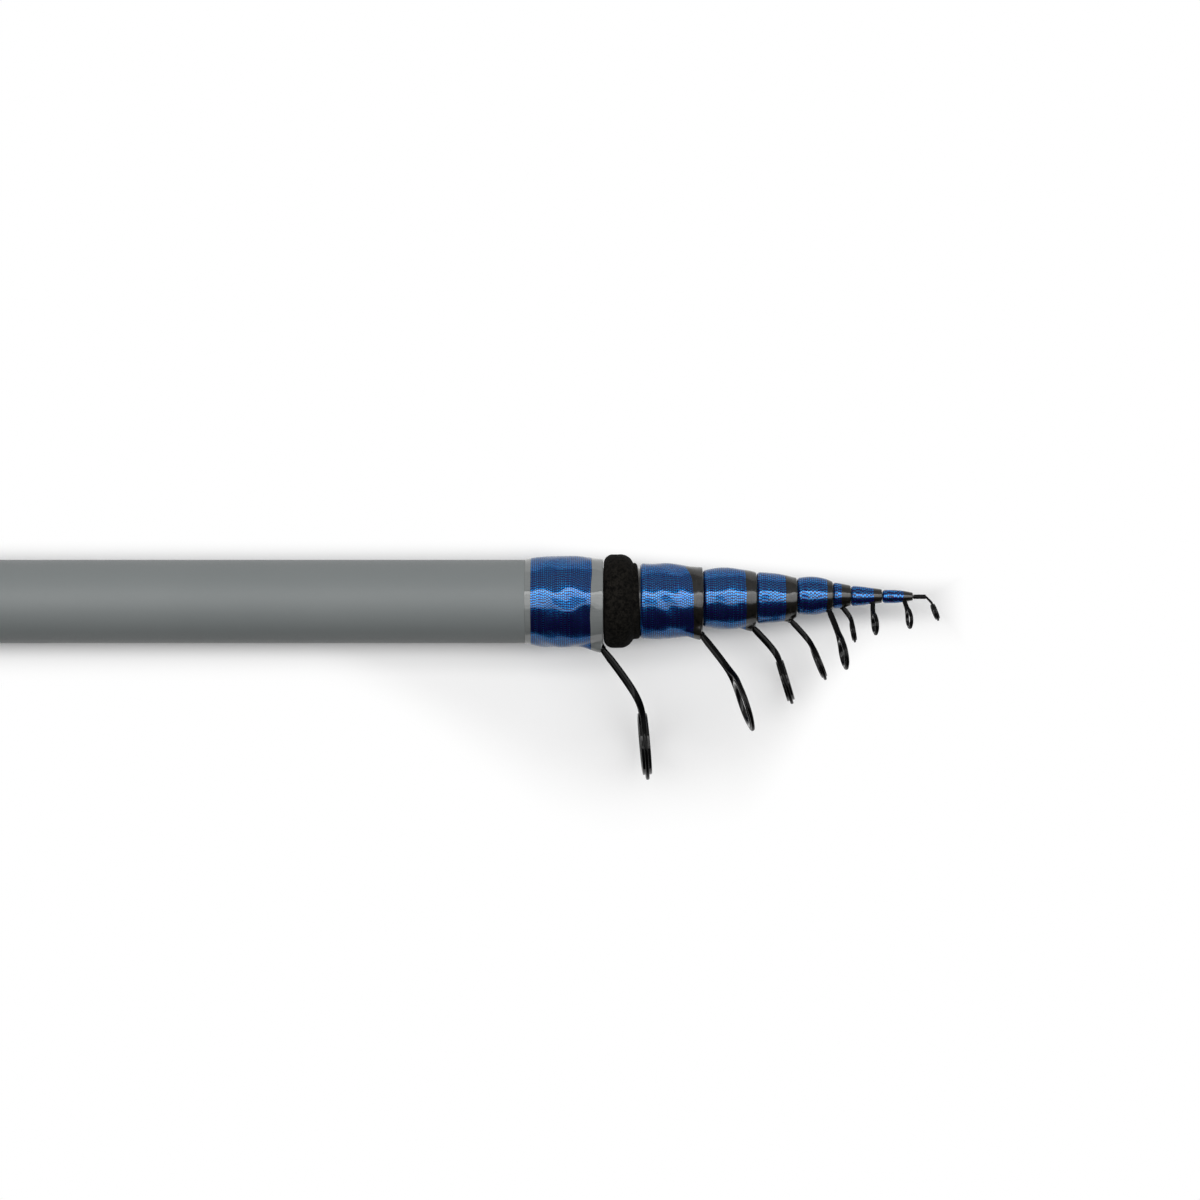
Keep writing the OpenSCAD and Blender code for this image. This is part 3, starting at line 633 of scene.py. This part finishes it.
def buildGuide(i):
    facts, blank = guides[i], blanks[i]
    thick, wide = guideSet["legThick"][i] * mm, guideSet["wireWide"][i] * mm
    footLong, footThin = guideSet["footLong"][i] * mm, guideSet["footThin"] * mm
    steps = guideSet["footSteps"]
    legX = legPlace(i)
    leg = legPath(i)
    leg = leg[np.linalg.norm(leg - leg[-1], axis=1) > guideSet["part"] * facts.rimMid]
    footShare = np.linspace(0, 0.96, steps)
    footThick = footThin + (thick - footThin) * footShare
    footX = legX - footLong * (1 - footShare)
    foot = (blank.middle + np.outer(footX, along)
            + np.outer(blankRadius(i, footX) + footThick / 2, facts.out))
    apart = (wide + guideSet["wireGap"] * mm) / 2
    legLift = np.cross(facts.side, np.gradient(leg, axis=0))
    ringLift = facts.axis * np.sign(legLift[-1].dot(facts.axis))
    pot = newPot()
    for sign in (-1, 1):
        parted = partedWire(facts, leg, sign, apart)
        aside = facts.side * sign * apart
        path = np.concatenate((foot + aside, leg + aside, parted))
        ease = np.linspace(0, 1, len(parted))[:, None]
        lifts = np.concatenate((np.tile(legLift[0], (steps, 1)), legLift,
                                (1 - ease) * unit(legLift[-1]) + ease * ringLift))
        slim = np.linspace(1, 0, len(parted))
        wides = np.concatenate((np.full(steps + len(leg), wide),
                                wide * slim + 0.9 * (facts.rimR - facts.rimIn) * (1 - slim)))
        fuller = thick * (1 + (guideSet["fuller"] - 1) * np.clip(np.arange(len(leg)) / 8, 0, 1))
        thicks = np.concatenate((footThick, fuller,
                                 fuller[-1] * slim + 0.94 * facts.rimThick * (1 - slim)))
        addGrid(pot, sweptWire(path, lifts, wides, thicks, guideSet["wireAround"]), 2 * wide, False)
    legKnot(pot, i)
    addGrid(pot, aroundRing(facts, rimOutline(facts), guideSet["ringAround"]), math.tau * facts.rimR)
    makePiece(f"guideFrame{i + 1}", pot, "guideBlack", sectionName(i),
              f"guide_{i + 1}_frame", crease=50)
    outline = insertOutline(facts, guideSet["slim"][i])
    pot = addGrid(newPot(), aroundRing(facts, outline, guideSet["ringAround"]), math.tau * facts.insertR)
    makePiece(f"guideInsert{i + 1}", pot, "ringCeramic", sectionName(i),
              f"guide_{i + 1}_insert", crease=50)


for i in range(8):
    buildGuide(i)
print("guides: 8")


# windings and resin: one barrel over each mouth, in bands, raised over the guide's foot
coatSet = {"around": 200, "step": 0.35 * mm, "edge": 0.9 * mm, "margin": 0.35 * mm,
           "cover": 0.22 * mm, "pool": 0.55, "blend": 0.12 * mm, "glue": 0.02 * mm, "seam": 0.2 * mm,
           "turns": ((4, 8), (9, 14)), "pace": ((0.25, 0.65), (0.5, 1.1)), "lump": (0.066 * mm, 0.036 * mm),
           "tails": {1: (0.3, 0.45, 2.4 * mm)}}  # section: angle, spread and length of a slanting thread end


def coatShape(i):
    facts, blank = guides[i], blanks[i]
    pairs = []
    for part in ("winding", "resin"):
        points = nodePoints(f"{sectionName(i)}_{part}")
        local = points - blank.middle
        reach = np.hypot(local[:, 1], local[:, 2])
        behind = local @ facts.out < -0.7 * reach
        for x in np.unique(points[:, 0]):
            held = behind & (points[:, 0] == x) & (reach > blankRadius(i, x) + 0.05 * mm)
            if held.sum() > 3:
                pairs.append((x, reach[held].max()))
    pairs = np.array(pairs)
    fit = np.polyfit(pairs[:, 0] - blank.mouth, pairs[:, 1], 2)
    chance = np.random.default_rng(40 + i)
    size = blank.mouthR / mm
    waves = []
    for (few, many), pace, lump in zip(coatSet["turns"], coatSet["pace"], coatSet["lump"]):
        for _ in range(4):
            waves.append((max(2, round(chance.uniform(few, many) * size / 14)),
                          chance.uniform(*pace) / mm * chance.choice((-1, 1)), chance.uniform(0, math.tau),
                          chance.uniform(0.6, 1.0) * lump * (size / 14) ** 0.6))
    return SimpleNamespace(fit=fit, waves=waves, start=pairs[:, 0].min(), end=pairs[:, 0].max())


def smoothRamp(value, low, high):
    t = np.clip((value - low) / (high - low), 0, 1)
    return t * t * (3 - 2 * t)


def turnBetween(angle, place):
    return (angle - place + math.pi) % math.tau - math.pi


def coatRadius(i, shape, x, angle):
    blank, facts = blanks[i], guides[i]
    r = np.polyval(shape.fit, x - blank.mouth)
    t = (x - shape.start) / (shape.end - shape.start)
    lumps = sum(size * np.sin(turns * angle + pace * x + lag) for turns, pace, lag, size in shape.waves)
    lumps = lumps - 0.3 * sum(wave[3] for wave in shape.waves)
    r = r + lumps * smoothRamp(t, -0.05, 0.12) * smoothRamp(1 - t, -0.02, 0.1)
    thick, wide = legSize(i)
    footThin, footLong = guideSet["footThin"] * mm, guideSet["footLong"][i] * mm
    legX = legPlace(i)
    foot = np.clip((x - legX + footLong) / footLong, 0, 1)
    cover = footThin + (thick - footThin) * foot + coatSet["cover"]
    big = min(1.0, blank.mouthR / (8 * mm))
    cover = (cover + coatSet["pool"] * thick * smoothRamp(x, legX - 3.5 * thick, legX)) * big
    cover = cover * smoothRamp(x, legX - footLong - 1.5 * mm, legX - footLong + 0.8 * mm)
    cover = cover * (1 - smoothRamp(x, legX + 0.1 * thick, blank.mouth + 0.2 * mm))
    legAngle = math.atan2(facts.out[2], facts.out[1])
    turn = np.abs(turnBetween(angle, legAngle)) * blankRadius(i, x)
    hump = blankRadius(i, x) + cover * (1 - smoothRamp(turn, 0.45 * wide, (0.9 + 1.2 * big) * wide))
    soft = coatSet["blend"]
    return np.where(hump - r > -4 * soft, r + soft * np.log1p(np.exp((hump - r) / soft)), r)


def seamLine(i, angle):  # how the front end of the thread wanders round the rod
    size = coatSet["seam"] * min(1.0, blanks[i].mouthR / (7 * mm))
    line = size * (np.sin(2 * angle + 1.7 * i) + 0.5 * np.sin(3 * angle + 2.3 * i)
                   + 0.3 * np.sin(9 * angle + i))
    if i in coatSet["tails"]:
        place, spreadOf, length = coatSet["tails"][i]
        line = line - length * np.exp(-(turnBetween(angle, place) / spreadOf) ** 2)
    return line


def coatBand(pot, i, shape, start, end, rearEdge=False, frontEdge=False):
    blank = blanks[i]
    angle = fullTurn(coatSet["around"])[None, :]
    start, end = start(angle), end(angle)
    rows = max(8, int(round((end - start).max() / coatSet["step"])))
    t = np.linspace(0, 1, rows + 1)
    fine = 1 - np.cos(np.linspace(0, math.pi / 2, 7))
    share = 1.1 * coatSet["edge"] / (end - start).min()
    if rearEdge:
        t = np.concatenate((share * fine, t[t > share]))
    if frontEdge:
        t = np.concatenate((t[t < 1 - share], 1 - share * fine[::-1]))
    x = start + t[:, None] * (end - start)
    r = coatRadius(i, shape, x, angle + 0 * x)
    inner = blankRadius(i, x) + coatSet["glue"]
    for wanted, gap in ((rearEdge, x - start), (frontEdge, end - x)):
        if wanted:
            edge = np.minimum(coatSet["edge"], 0.85 * (r - inner))
            over = np.clip(1 - gap / edge, 0, 1)
            r = r - edge * (1 - np.sqrt(1 - over * over))
    x = np.concatenate((x, x[-1:], x[:1]))
    r = np.concatenate((r, inner[-1:], inner[:1]))
    addGrid(pot, roundGrid(x, r, angle, blank.middle), math.tau * blank.mouthR)


for i in range(8):
    shape = coatShape(i)
    low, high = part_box(f"{sectionName(i)}_winding")
    rear, front, mouth = low.x, high.x, blanks[i].mouth
    pot = newPot()
    coatBand(pot, i, shape, lambda a: rear + 0 * a, lambda a: front + seamLine(i, a), rearEdge=i > 0)
    makePiece("buttWinding" if i == 0 else f"winding{i + 1}", pot, "blueThread", sectionName(i),
              f"{sectionName(i)}_winding")
    pot = newPot()
    name, coated, slot = f"resinBand{i + 1}", "darkResin", "clear_resin"
    if i == 0:
        name, coated, slot = "buttResin", "greyResin", "grey_resin"
        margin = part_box("butt_resin")[0].x + coatSet["margin"]
        coatBand(pot, 0, shape, lambda a: margin + seamLine(5, a), lambda a: rear + 0 * a, rearEdge=True)
    coatBand(pot, i, shape, lambda a: front + seamLine(i, a), lambda a: mouth + 0 * a, frontEdge=True)
    makePiece(name, pot, coated, sectionName(i), f"{sectionName(i)}_resin")
print("windings: 8")


# foam collar behind section 2's winding
foamSet = {"around": 300, "rows": 72, "rear": 2.8 * mm, "front": 4.2 * mm, "stepRound": 1.2 * mm,
           "grain": 0.05 * mm, "cell": 1900.0, "wave": 0.12 * mm, "waveSize": 160.0,
           "lean": 0.8 * mm, "blend": 0.25 * mm}


def roundDrop(share):  # how far a quarter-round edge has dropped, from 1 at its end to 0
    return 1 - np.sqrt(1 - (1 - share) ** 2)


def foamCollar():
    middle = blanks[1].middle
    points, reach, x0, x1 = nodeReach("foam_collar", middle)
    bigR = reach.max()
    stepR = reach[points[:, 0] == x1].max()
    bigEnd = np.unique(points[:, 0])[-2]
    x = np.linspace(x0, x1, foamSet["rows"])
    rear, front = foamSet["rear"], foamSet["front"]
    fromRear, fromFront = np.clip((x - x0) / rear, 0, 1), np.clip((bigEnd - x) / front, 0, 1)
    bigRing = bigR - rear * roundDrop(fromRear) - front * roundDrop(fromFront)
    bigRing = bigRing - 6 * np.clip(x - bigEnd, 0, mm)
    past = np.clip((x - x1) / foamSet["stepRound"] + 1, 0, 1)
    stepRing = stepR - foamSet["stepRound"] * roundDrop(1 - past)
    soft = foamSet["blend"]
    r = np.where(x < (x0 + bigEnd) / 2, bigRing, soft * np.logaddexp(bigRing / soft, stepRing / soft))
    r = np.minimum(r, bigR)
    inner = blankRadius(1, x) + coatSet["glue"]
    outline = np.concatenate((np.c_[x, r], [(x1, inner[-1]), (x0, inner[0])]))
    grid = turnedGrid(outline, foamSet["around"], middle)
    angle = fullTurn(foamSet["around"])
    hang = smoothRamp(outline[:, 0], bigEnd - mm, x1)
    # the front edge isn't square
    grid[:, :, 0] -= foamSet["lean"] * np.outer(hang, 0.5 + 0.5 * np.cos(angle))
    for row in grid[:-2]:
        for at in row:
            outward = unit((at - middle) * (0, 1, 1))
            worn = 1 + noise.noise(Vector(at * foamSet["waveSize"]))
            cell = 1 + noise.fractal(Vector(at * foamSet["cell"]), 1.0, 2.0, 2)
            at -= outward * (foamSet["grain"] * cell + foamSet["wave"] * worn)
    pot = addGrid(newPot(), grid, math.tau * bigR)
    return makePiece("foamCollar", pot, "foamCells", "section_2", "foam_collar", crease=60)


foamCollar()
print("foam collar: 1")


# tip ring on its sleeve, carried by two wire arms
tipSet = {"sleeveLong": 3.7, "sleeveWall": 0.25, "arm": 0.6, "bend": 0.18, "steps": 24, "around": 72,
          "sleeveEdge": 0.1 * mm, "sleeveAround": 40, "armAround": 14}


def tipRing():
    facts = ringFacts("tip_ring_insert", "tip_ring_frame", tipMiddle)
    tipX, tipR = tipPlaces[-1], tipEdges[-1][1]
    sleeveX = tipX - tipSet["sleeveLong"] * mm
    sleeveR = tipR + (tipSet["sleeveWall"] + 0.02) * mm
    boreR = tipR + coatSet["glue"]
    outline = rounded([(sleeveX, boreR), (sleeveX, sleeveR), (tipX, sleeveR), (tipX, boreR)],
                      tipSet["sleeveEdge"])
    pot = addGrid(newPot(), turnedGrid(outline, tipSet["sleeveAround"], tipMiddle), math.tau * sleeveR)
    arm = tipSet["arm"] * mm
    top = facts.centre - facts.rimMid * facts.down
    begin = tipMiddle + along * (sleeveX + tipSet["sleeveLong"] * mm / 4)
    turn = tipMiddle + along * tipX
    bend = top - tipSet["bend"] * np.linalg.norm(top - turn) * facts.down
    path = np.concatenate((np.linspace(begin, turn, 6)[:-1], bentPath(turn, bend, top, tipSet["steps"])))
    sizes = np.full(len(path), arm)
    lifts = np.cross(facts.side, np.gradient(path, axis=0))
    for sign in (-1, 1):
        apart = facts.side * sign * (sleeveR + arm / 4)
        addGrid(pot, sweptWire(path + apart, lifts, sizes, sizes, tipSet["armAround"]), 4 * arm, False)
    addGrid(pot, aroundRing(facts, rimOutline(facts), tipSet["around"]), math.tau * facts.rimR)
    makePiece("tipRingFrame", pot, "guideBlack", "tip", "tip_ring_frame", crease=50)
    pot = addGrid(newPot(), aroundRing(facts, insertOutline(facts), tipSet["around"]),
                  math.tau * facts.insertR)
    makePiece("tipRingInsert", pot, "ringCeramic", "tip", "tip_ring_insert", crease=50)


tipRing()
print("tip ring: 1")


# butt end: screw cap with flutes and thread, washer and rubber pad
capSet = {"flutes": 24, "fluteDeep": 0.45 * mm, "perFlute": 12, "flangeLong": 8 * mm, "pitch": 1.5 * mm,
          "threadDeep": 0.55 * mm, "rim": 0.9 * mm, "wall": 3 * mm, "perTurn": 8,
          "washerEdge": 0.3 * mm, "washerAround": 160}


def buttCap():
    points, reach, _, plugEnd = nodeReach("butt_cap")
    flangeR = reach.max()
    plugR = reach[points[:, 0] > plugEnd - 1e-6].max()
    flange, rim = capSet["flangeLong"], capSet["rim"]
    count = capSet["flutes"] * capSet["perFlute"]
    angle = fullTurn(count)
    hollow = plugR - capSet["wall"]
    rows = [(0.35 * mm - 0.06 * mm * (k % 2), 0.5 * mm + 0.035 * k * flangeR, 0, 0) for k in range(15)]
    rows += [(0.0, 0.6 * flangeR, 0, 0), (0.0, 0.8 * flangeR, 0, 0), (0.0, flangeR - rim, 0, 0)]
    rows += [(rim * (1 - math.cos(a)), flangeR - rim * (1 - math.sin(a)), a / (math.pi / 2), 0)
             for a in np.linspace(0.2, math.pi / 2, 7)]
    rows += [(x, flangeR, 1 - smoothRamp(x, flange - 2.2 * mm, flange - 1.1 * mm), 0)
             for x in np.linspace(rim + 0.4 * mm, flange - 0.15 * mm, 14)]
    rows += [(flange, flangeR - 0.15 * mm, 0, 0), (flange, plugR - capSet["threadDeep"], 0, 0)]
    steps = int((plugEnd - flange) / capSet["pitch"] * capSet["perTurn"])
    for x in np.linspace(flange + 0.1 * mm, plugEnd - 0.1 * mm, steps):
        fade = smoothRamp(x, flange, flange + 1.2 * mm) * smoothRamp(plugEnd - x, 0.2 * mm, 1.2 * mm)
        rows.append((x, plugR, 0, fade))
    rows += [(x, r, 0, 0) for x, r in (
        (plugEnd, plugR - capSet["threadDeep"] - 0.2 * mm), (plugEnd, hollow + 0.2 * mm),
        (plugEnd - 0.2 * mm, hollow), (flange + 0.1 * mm, hollow), (flange, hollow - 0.2 * mm),
        (flange, 0.5 * mm))]
    flute = np.clip(np.cos(capSet["flutes"] * angle), -0.2, 1)
    flute = (flute + 0.2) / 1.2
    grid = []
    for x, r, fluted, threaded in rows:
        rise = 0.5 + 0.5 * np.cos(math.tau * x / capSet["pitch"] - angle)
        ring = r - capSet["fluteDeep"] * fluted * flute
        if flange < x < plugEnd and r == plugR:
            ring = plugR - capSet["threadDeep"] * (1 - threaded * rise)
        grid.append(roundGrid(x, ring, angle))
    pot = addGrid(newPot(), np.array(grid), math.tau * flangeR, False)
    makePiece("buttCap", pot, "capAnodised", "cap", "butt_cap", crease=35)


def capWasher():
    _, reach, x0, x1 = nodeReach("cap_washer")
    bore, rim = reach.min(), reach.max()
    outline = rounded([(x0, bore), (x0, rim), (x1, rim), (x1, bore)], capSet["washerEdge"], 6)
    pot = addGrid(newPot(), turnedGrid(outline, capSet["washerAround"]), math.tau * rim)
    makePiece("capWasher", pot, "softRubber", "washer", "cap_washer", crease=50)


padSet = {"rings": 5, "first": 0.88, "apart": 0.18, "deep": 0.3 * mm, "edge": 0.25 * mm, "around": 120}


def capPad():
    points, reach, x0, x1 = nodeReach("cap_pad")
    padR = reach.max()
    spigotR = reach[points[:, 0] < x0 + 1e-6].max()
    face = points[reach > padR - 1e-5][:, 0].min()
    outline = [(x0, 0.3 * mm), (x0, spigotR), (face, spigotR), (face, padR), (x1, padR)]
    for k in range(padSet["rings"]):  # rings moulded into the face that the sections knock on
        r = padR * (padSet["first"] - padSet["apart"] * k)
        outline += [(x1, r), (x1 - padSet["deep"], r - 0.05 * padR), (x1, r - 0.1 * padR)]
    outline = rounded(outline + [(x1, 0.3 * mm)], padSet["edge"])
    pot = addGrid(newPot(), turnedGrid(outline, padSet["around"]), math.tau * padR, False)
    pad = makePiece("capPad", pot, "softRubber", "cap", "cap_pad", crease=50)


buttCap()
capWasher()
capPad()
print("butt end: 3")


# reel seat: CAD shapes with softened edges, and the two windings over its feet
seatSet = {  # node: piece, finish, slot, softened edge and widest face in mm
    "seat_plate": ("seatPlate", "seatBlack", "seat_metal", 0.35, 2.0),
    "seat_fixed_hood": ("seatFixedHood", "hoodBlack", "hood_metal", 0.45, 1.3),
    "seat_sliding_hood": ("seatSlidingHood", "hoodBlack", "hood_metal", 0.4, 1.3),
    "seat_lever": ("seatLever", "hoodBlack", "hood_metal", 0.3, 0.6),
    "seat_lever_pin": ("seatLeverPin", "pinSteel", "pin_steel", 0.2, 1.3),
    "butt_bush": ("buttBush", "bushBrass", "bush_brass", 0.15, 2.0),
}


def softenedCopy(node, body):
    name, paintName, slot, soft, widest = seatSet[node]
    mesh = bpy.data.meshes.new(name)
    work = bmesh.new()
    work.from_mesh(nodes[node].data)
    bmesh.ops.remove_doubles(work, verts=work.verts, dist=1e-6)
    bmesh.ops.dissolve_limit(work, angle_limit=math.radians(0.8), verts=work.verts, edges=work.edges)
    sharp = [edge for edge in work.edges if len(edge.link_faces) == 2
             and edge.calc_face_angle(0.0) > math.radians(28)]
    bmesh.ops.bevel(work, geom=sharp, offset=soft * mm, segments=3, profile=0.5, affect="EDGES",
                    clamp_overlap=True)
    for _ in range(7):  # smaller faces, so that wear stays near the edges
        bmesh.ops.triangulate(work, faces=work.faces)
        wide = [edge for edge in work.edges if edge.calc_length() > widest * mm]
        bmesh.ops.subdivide_edges(work, edges=wide, cuts=1)
    bmesh.ops.triangulate(work, faces=work.faces)
    placePiece(name, mesh, work, paintName, body, node, crease=32)


bodyNodes = frame["record"]["behaviour"]["bodies"]
for node in seatSet:
    softenedCopy(node, next(body for body, members in bodyNodes.items() if node in members))


footCoatSet = {"inset": 0.1 * mm, "edge": 0.4 * mm, "rows": 48, "around": 160, "wave": 0.04 * mm}


def seatWinding(node, name):
    points, reach, x0, x1 = nodeReach(node)
    widest = points[:, 2].max()
    middleY = points[points[:, 2] > widest - 1e-5][:, 1].mean()
    r, edge = widest - footCoatSet["inset"], footCoatSet["edge"]
    x = np.concatenate((x0 + edge * (1 - np.cos(np.linspace(0, math.pi / 2, 6))),
                        np.linspace(x0 + edge, x1 - edge, footCoatSet["rows"])[1:-1],
                        x1 - edge * (1 - np.sin(np.linspace(0, math.pi / 2, 6)))))
    past = np.clip(np.maximum(x0 + edge - x, x - x1 + edge), 0, edge)
    drop = edge - np.sqrt(np.maximum(0, edge ** 2 - past ** 2))
    angle = fullTurn(footCoatSet["around"])[None, :]
    lump = np.sin(3 * angle + 600 * x[:, None]) + np.sin(2 * angle - 950 * x[:, None]) - 2
    size = r - drop[:, None] + footCoatSet["wave"] * lump * (drop[:, None] < edge * 0.5)
    bore = turnedGrid(np.array(((x1, reach.min()), (x0, reach.min()))), footCoatSet["around"])
    grid = np.concatenate((roundGrid(x[:, None], size, angle, (0, middleY, 0)), bore))
    makePiece(name, addGrid(newPot(), grid, math.tau * r), "blueThread", "butt", node)


seatWinding("seat_rear_winding", "seatRearWinding")
seatWinding("seat_front_winding", "seatFrontWinding")
print("reel seat:", len(seatSet) + 2)


# studio: pale floor with a painted shadow halo round the rod, overhead softboxes, a soft wall, and dark flats
# that stand round them
studioSet = {
    "panels": (  # place along and across, length, width and level of each
        (0.0, 0.245, 1.7, 0.11, 2.9), (0.0, 0.14, 1.7, 0.1, 1.9), (0.0, -0.147, 1.7, 0.094, 1.15),
        (-0.47, -0.005, 0.76, 0.19, 1.75), (0.475, -0.005, 0.76, 0.19, 1.75),
        (0.0, -0.005, 0.185, 0.19, 0.4)),
    "panelHeight": 0.55, "wall": {"y": 0.8, "high": 1.4, "long": 2.6, "level": 0.33},
    "flats": {"near": -0.21, "far": 0.84, "high": 1.25, "long": 4.0, "shade": 0.012, "low": (-0.12, 0.14)},
    "ambient": 0.12, "backdrop": 1.0, "floorGrey": 0.34, "floorWhite": 0.93, "floorSize": 9.0,
    "paintedShadowLift": (0.55, 0.36),  # whitening inside the painted shadow halo near the rod, away from and under the guides
    "paintedShadowReach": (0.03, 0.05, 0.013),  # under the guides the painted shadow halo reaches further out before the floor whitens
    "halfRod": {1: 0.63, 2: 0.745, 3: 0.0125, 4: 0.002},  # half the rod's width, by place along
    "hung": (0.56, 0.66, 0.69, 0.735),  # where the guides hang over the floor
}
over = cameraSet["over"][0]


def softbox(name, place, turn, size, level):
    lamp = bpy.data.lights.new(name, "AREA")
    lamp.shape = "RECTANGLE"
    lamp.size, lamp.size_y = size
    lamp.energy = 4 * size[0] * size[1] * level
    holder = bpy.data.objects.new(name, lamp)
    holder.location = place
    holder.rotation_euler = turn
    holder.visible_camera = False
    scene.collection.objects.link(holder)


for k, (x, y, panelLong, wide, level) in enumerate(studioSet["panels"]):
    place = (over + x, y, studioSet["panelHeight"])
    softbox(f"overheadPanel{k + 1}", place, (0, 0, 0), (panelLong, wide), level)
wall = studioSet["wall"]
softbox("softWall", (over, wall["y"], wall["high"] / 2), (math.radians(-90), 0, 0),
        (wall["long"], wall["high"]), wall["level"])


def stageSheet(name, corners, paintName):
    mesh = bpy.data.meshes.new(name)
    mesh.from_pydata(corners, [], [(0, 1, 2, 3)])
    mesh.materials.append(finish[paintName])
    sheet = bpy.data.objects.new(name, mesh)
    scene.collection.objects.link(sheet)
    return sheet


tree, surface = newMaterial("floorPaint")
speck = grainOf(tree, 60.0, 3.0)
seen = seenRays(tree)
grey, white = studioSet["floorGrey"], studioSet["floorWhite"]
shade = blendColour(tree, speck["Cloud"], (grey,) * 3, (grey + 0.02,) * 3)
paint(surface, blendColour(tree, seen, shade, (white,) * 3), 0.9, **{"Specular IOR Level": 0.1})
# the floor glows white for camera and gloss rays, except in a band that follows the rod's outline and widens
# under the guides: a painted shadow halo, darker partly by the real shadow and partly by holding back the
# glow; it stays put when pieces move
glow = addNode(tree, "Emission", {"Color": (1.0, 1.0, 1.0), "Strength": 1.0})
where = addNode(tree, "SeparateXYZ", {0: objectPlace(tree)}).outputs
rodEdge = addNode(tree, "MapRange", {"Value": where["X"], **studioSet["halfRod"]}).outputs[0]
below = mathNode(tree, "SUBTRACT", times(tree, where["Y"], -1.0), rodEdge)
above = mathNode(tree, "SUBTRACT", where["Y"], rodEdge)
hung = mathNode(tree, "SUBTRACT", spread(tree, where["X"], *studioSet["hung"][:2]),
                spread(tree, where["X"], *studioSet["hung"][2:]))
begins, wider, ends = studioSet["paintedShadowReach"]
start = times(tree, hung, begins)
end = mathNode(tree, "MULTIPLY_ADD", hung, wider, ends)
away, under = studioSet["paintedShadowLift"]
close = mathNode(tree, "MULTIPLY_ADD", hung, under - away, away)
# painted shadow halo: less whitening close to the rod, and less again under the guides
lift = mathNode(tree, "ADD", spread(tree, below, -0.002, 0.006, 0.0, close),
                spread(tree, below, start, end, 0.0, mathNode(tree, "SUBTRACT", 1.0, close)))
rearX, frontX = cadBox[0].x, cadBox[1].x
for value, *limits in ((above, -0.001, 0.0065), (where["X"], frontX - 0.003, frontX + 0.01),
                       (where["X"], rearX - 0.012, rearX, 1.0, 0.0)):
    lift = mathNode(tree, "MAXIMUM", lift, spread(tree, value, *limits))
lift = times(tree, seen, lift)
mixed = addNode(tree, "MixShader", {0: lift, 1: surface.outputs[0], 2: glow.outputs[0]})
tree.links.new(mixed.outputs[0], tree.nodes["Material Output"].inputs[0])

floorZ = cadBox[0].z
half = studioSet["floorSize"] / 2
corners = [(over + sx * half, sy * half, floorZ) for sx, sy in ((-1, -1), (1, -1), (1, 1), (-1, 1))]
stageSheet("paleFloor", corners, "floorPaint")

tree, surface = newMaterial("flatPaint")
speck = grainOf(tree, 60.0, 3.0)
flats = studioSet["flats"]
shade = flats["shade"]
paint(surface, blendColour(tree, speck["Cloud"], (shade,) * 3, (shade * 1.3,) * 3), 0.9)
left, right = over - flats["long"] / 2, over + flats["long"] / 2
near, far, top = flats["near"], flats["far"], flats["high"]
sheets = [("topFlat", ((left, near, top), (right, near, top), (right, far, top), (left, far, top)))]
for name, y, high in (("nearFlat", near, top), ("farFlat", far, top), ("lowFlat", *flats["low"])):
    sheets.append((name, ((left, y, floorZ), (right, y, floorZ), (right, y, high), (left, y, high))))
for name, corners in sheets:  # dark flats, which gloss sees and the camera doesn't
    stageSheet(name, corners, "flatPaint").visible_camera = False

scene.world = bpy.data.worlds.new("paleRoom")
scene.world.use_nodes = True
tree = scene.world.node_tree
background = tree.nodes["Background"]
seen = seenRays(tree)
ambient = studioSet["ambient"]
level = mathNode(tree, "MULTIPLY_ADD", seen, studioSet["backdrop"] - ambient, ambient)
tree.links.new(level, background.inputs["Strength"])
background.inputs["Color"].default_value = (1.0, 1.0, 1.0, 1.0)
print("studio ready")
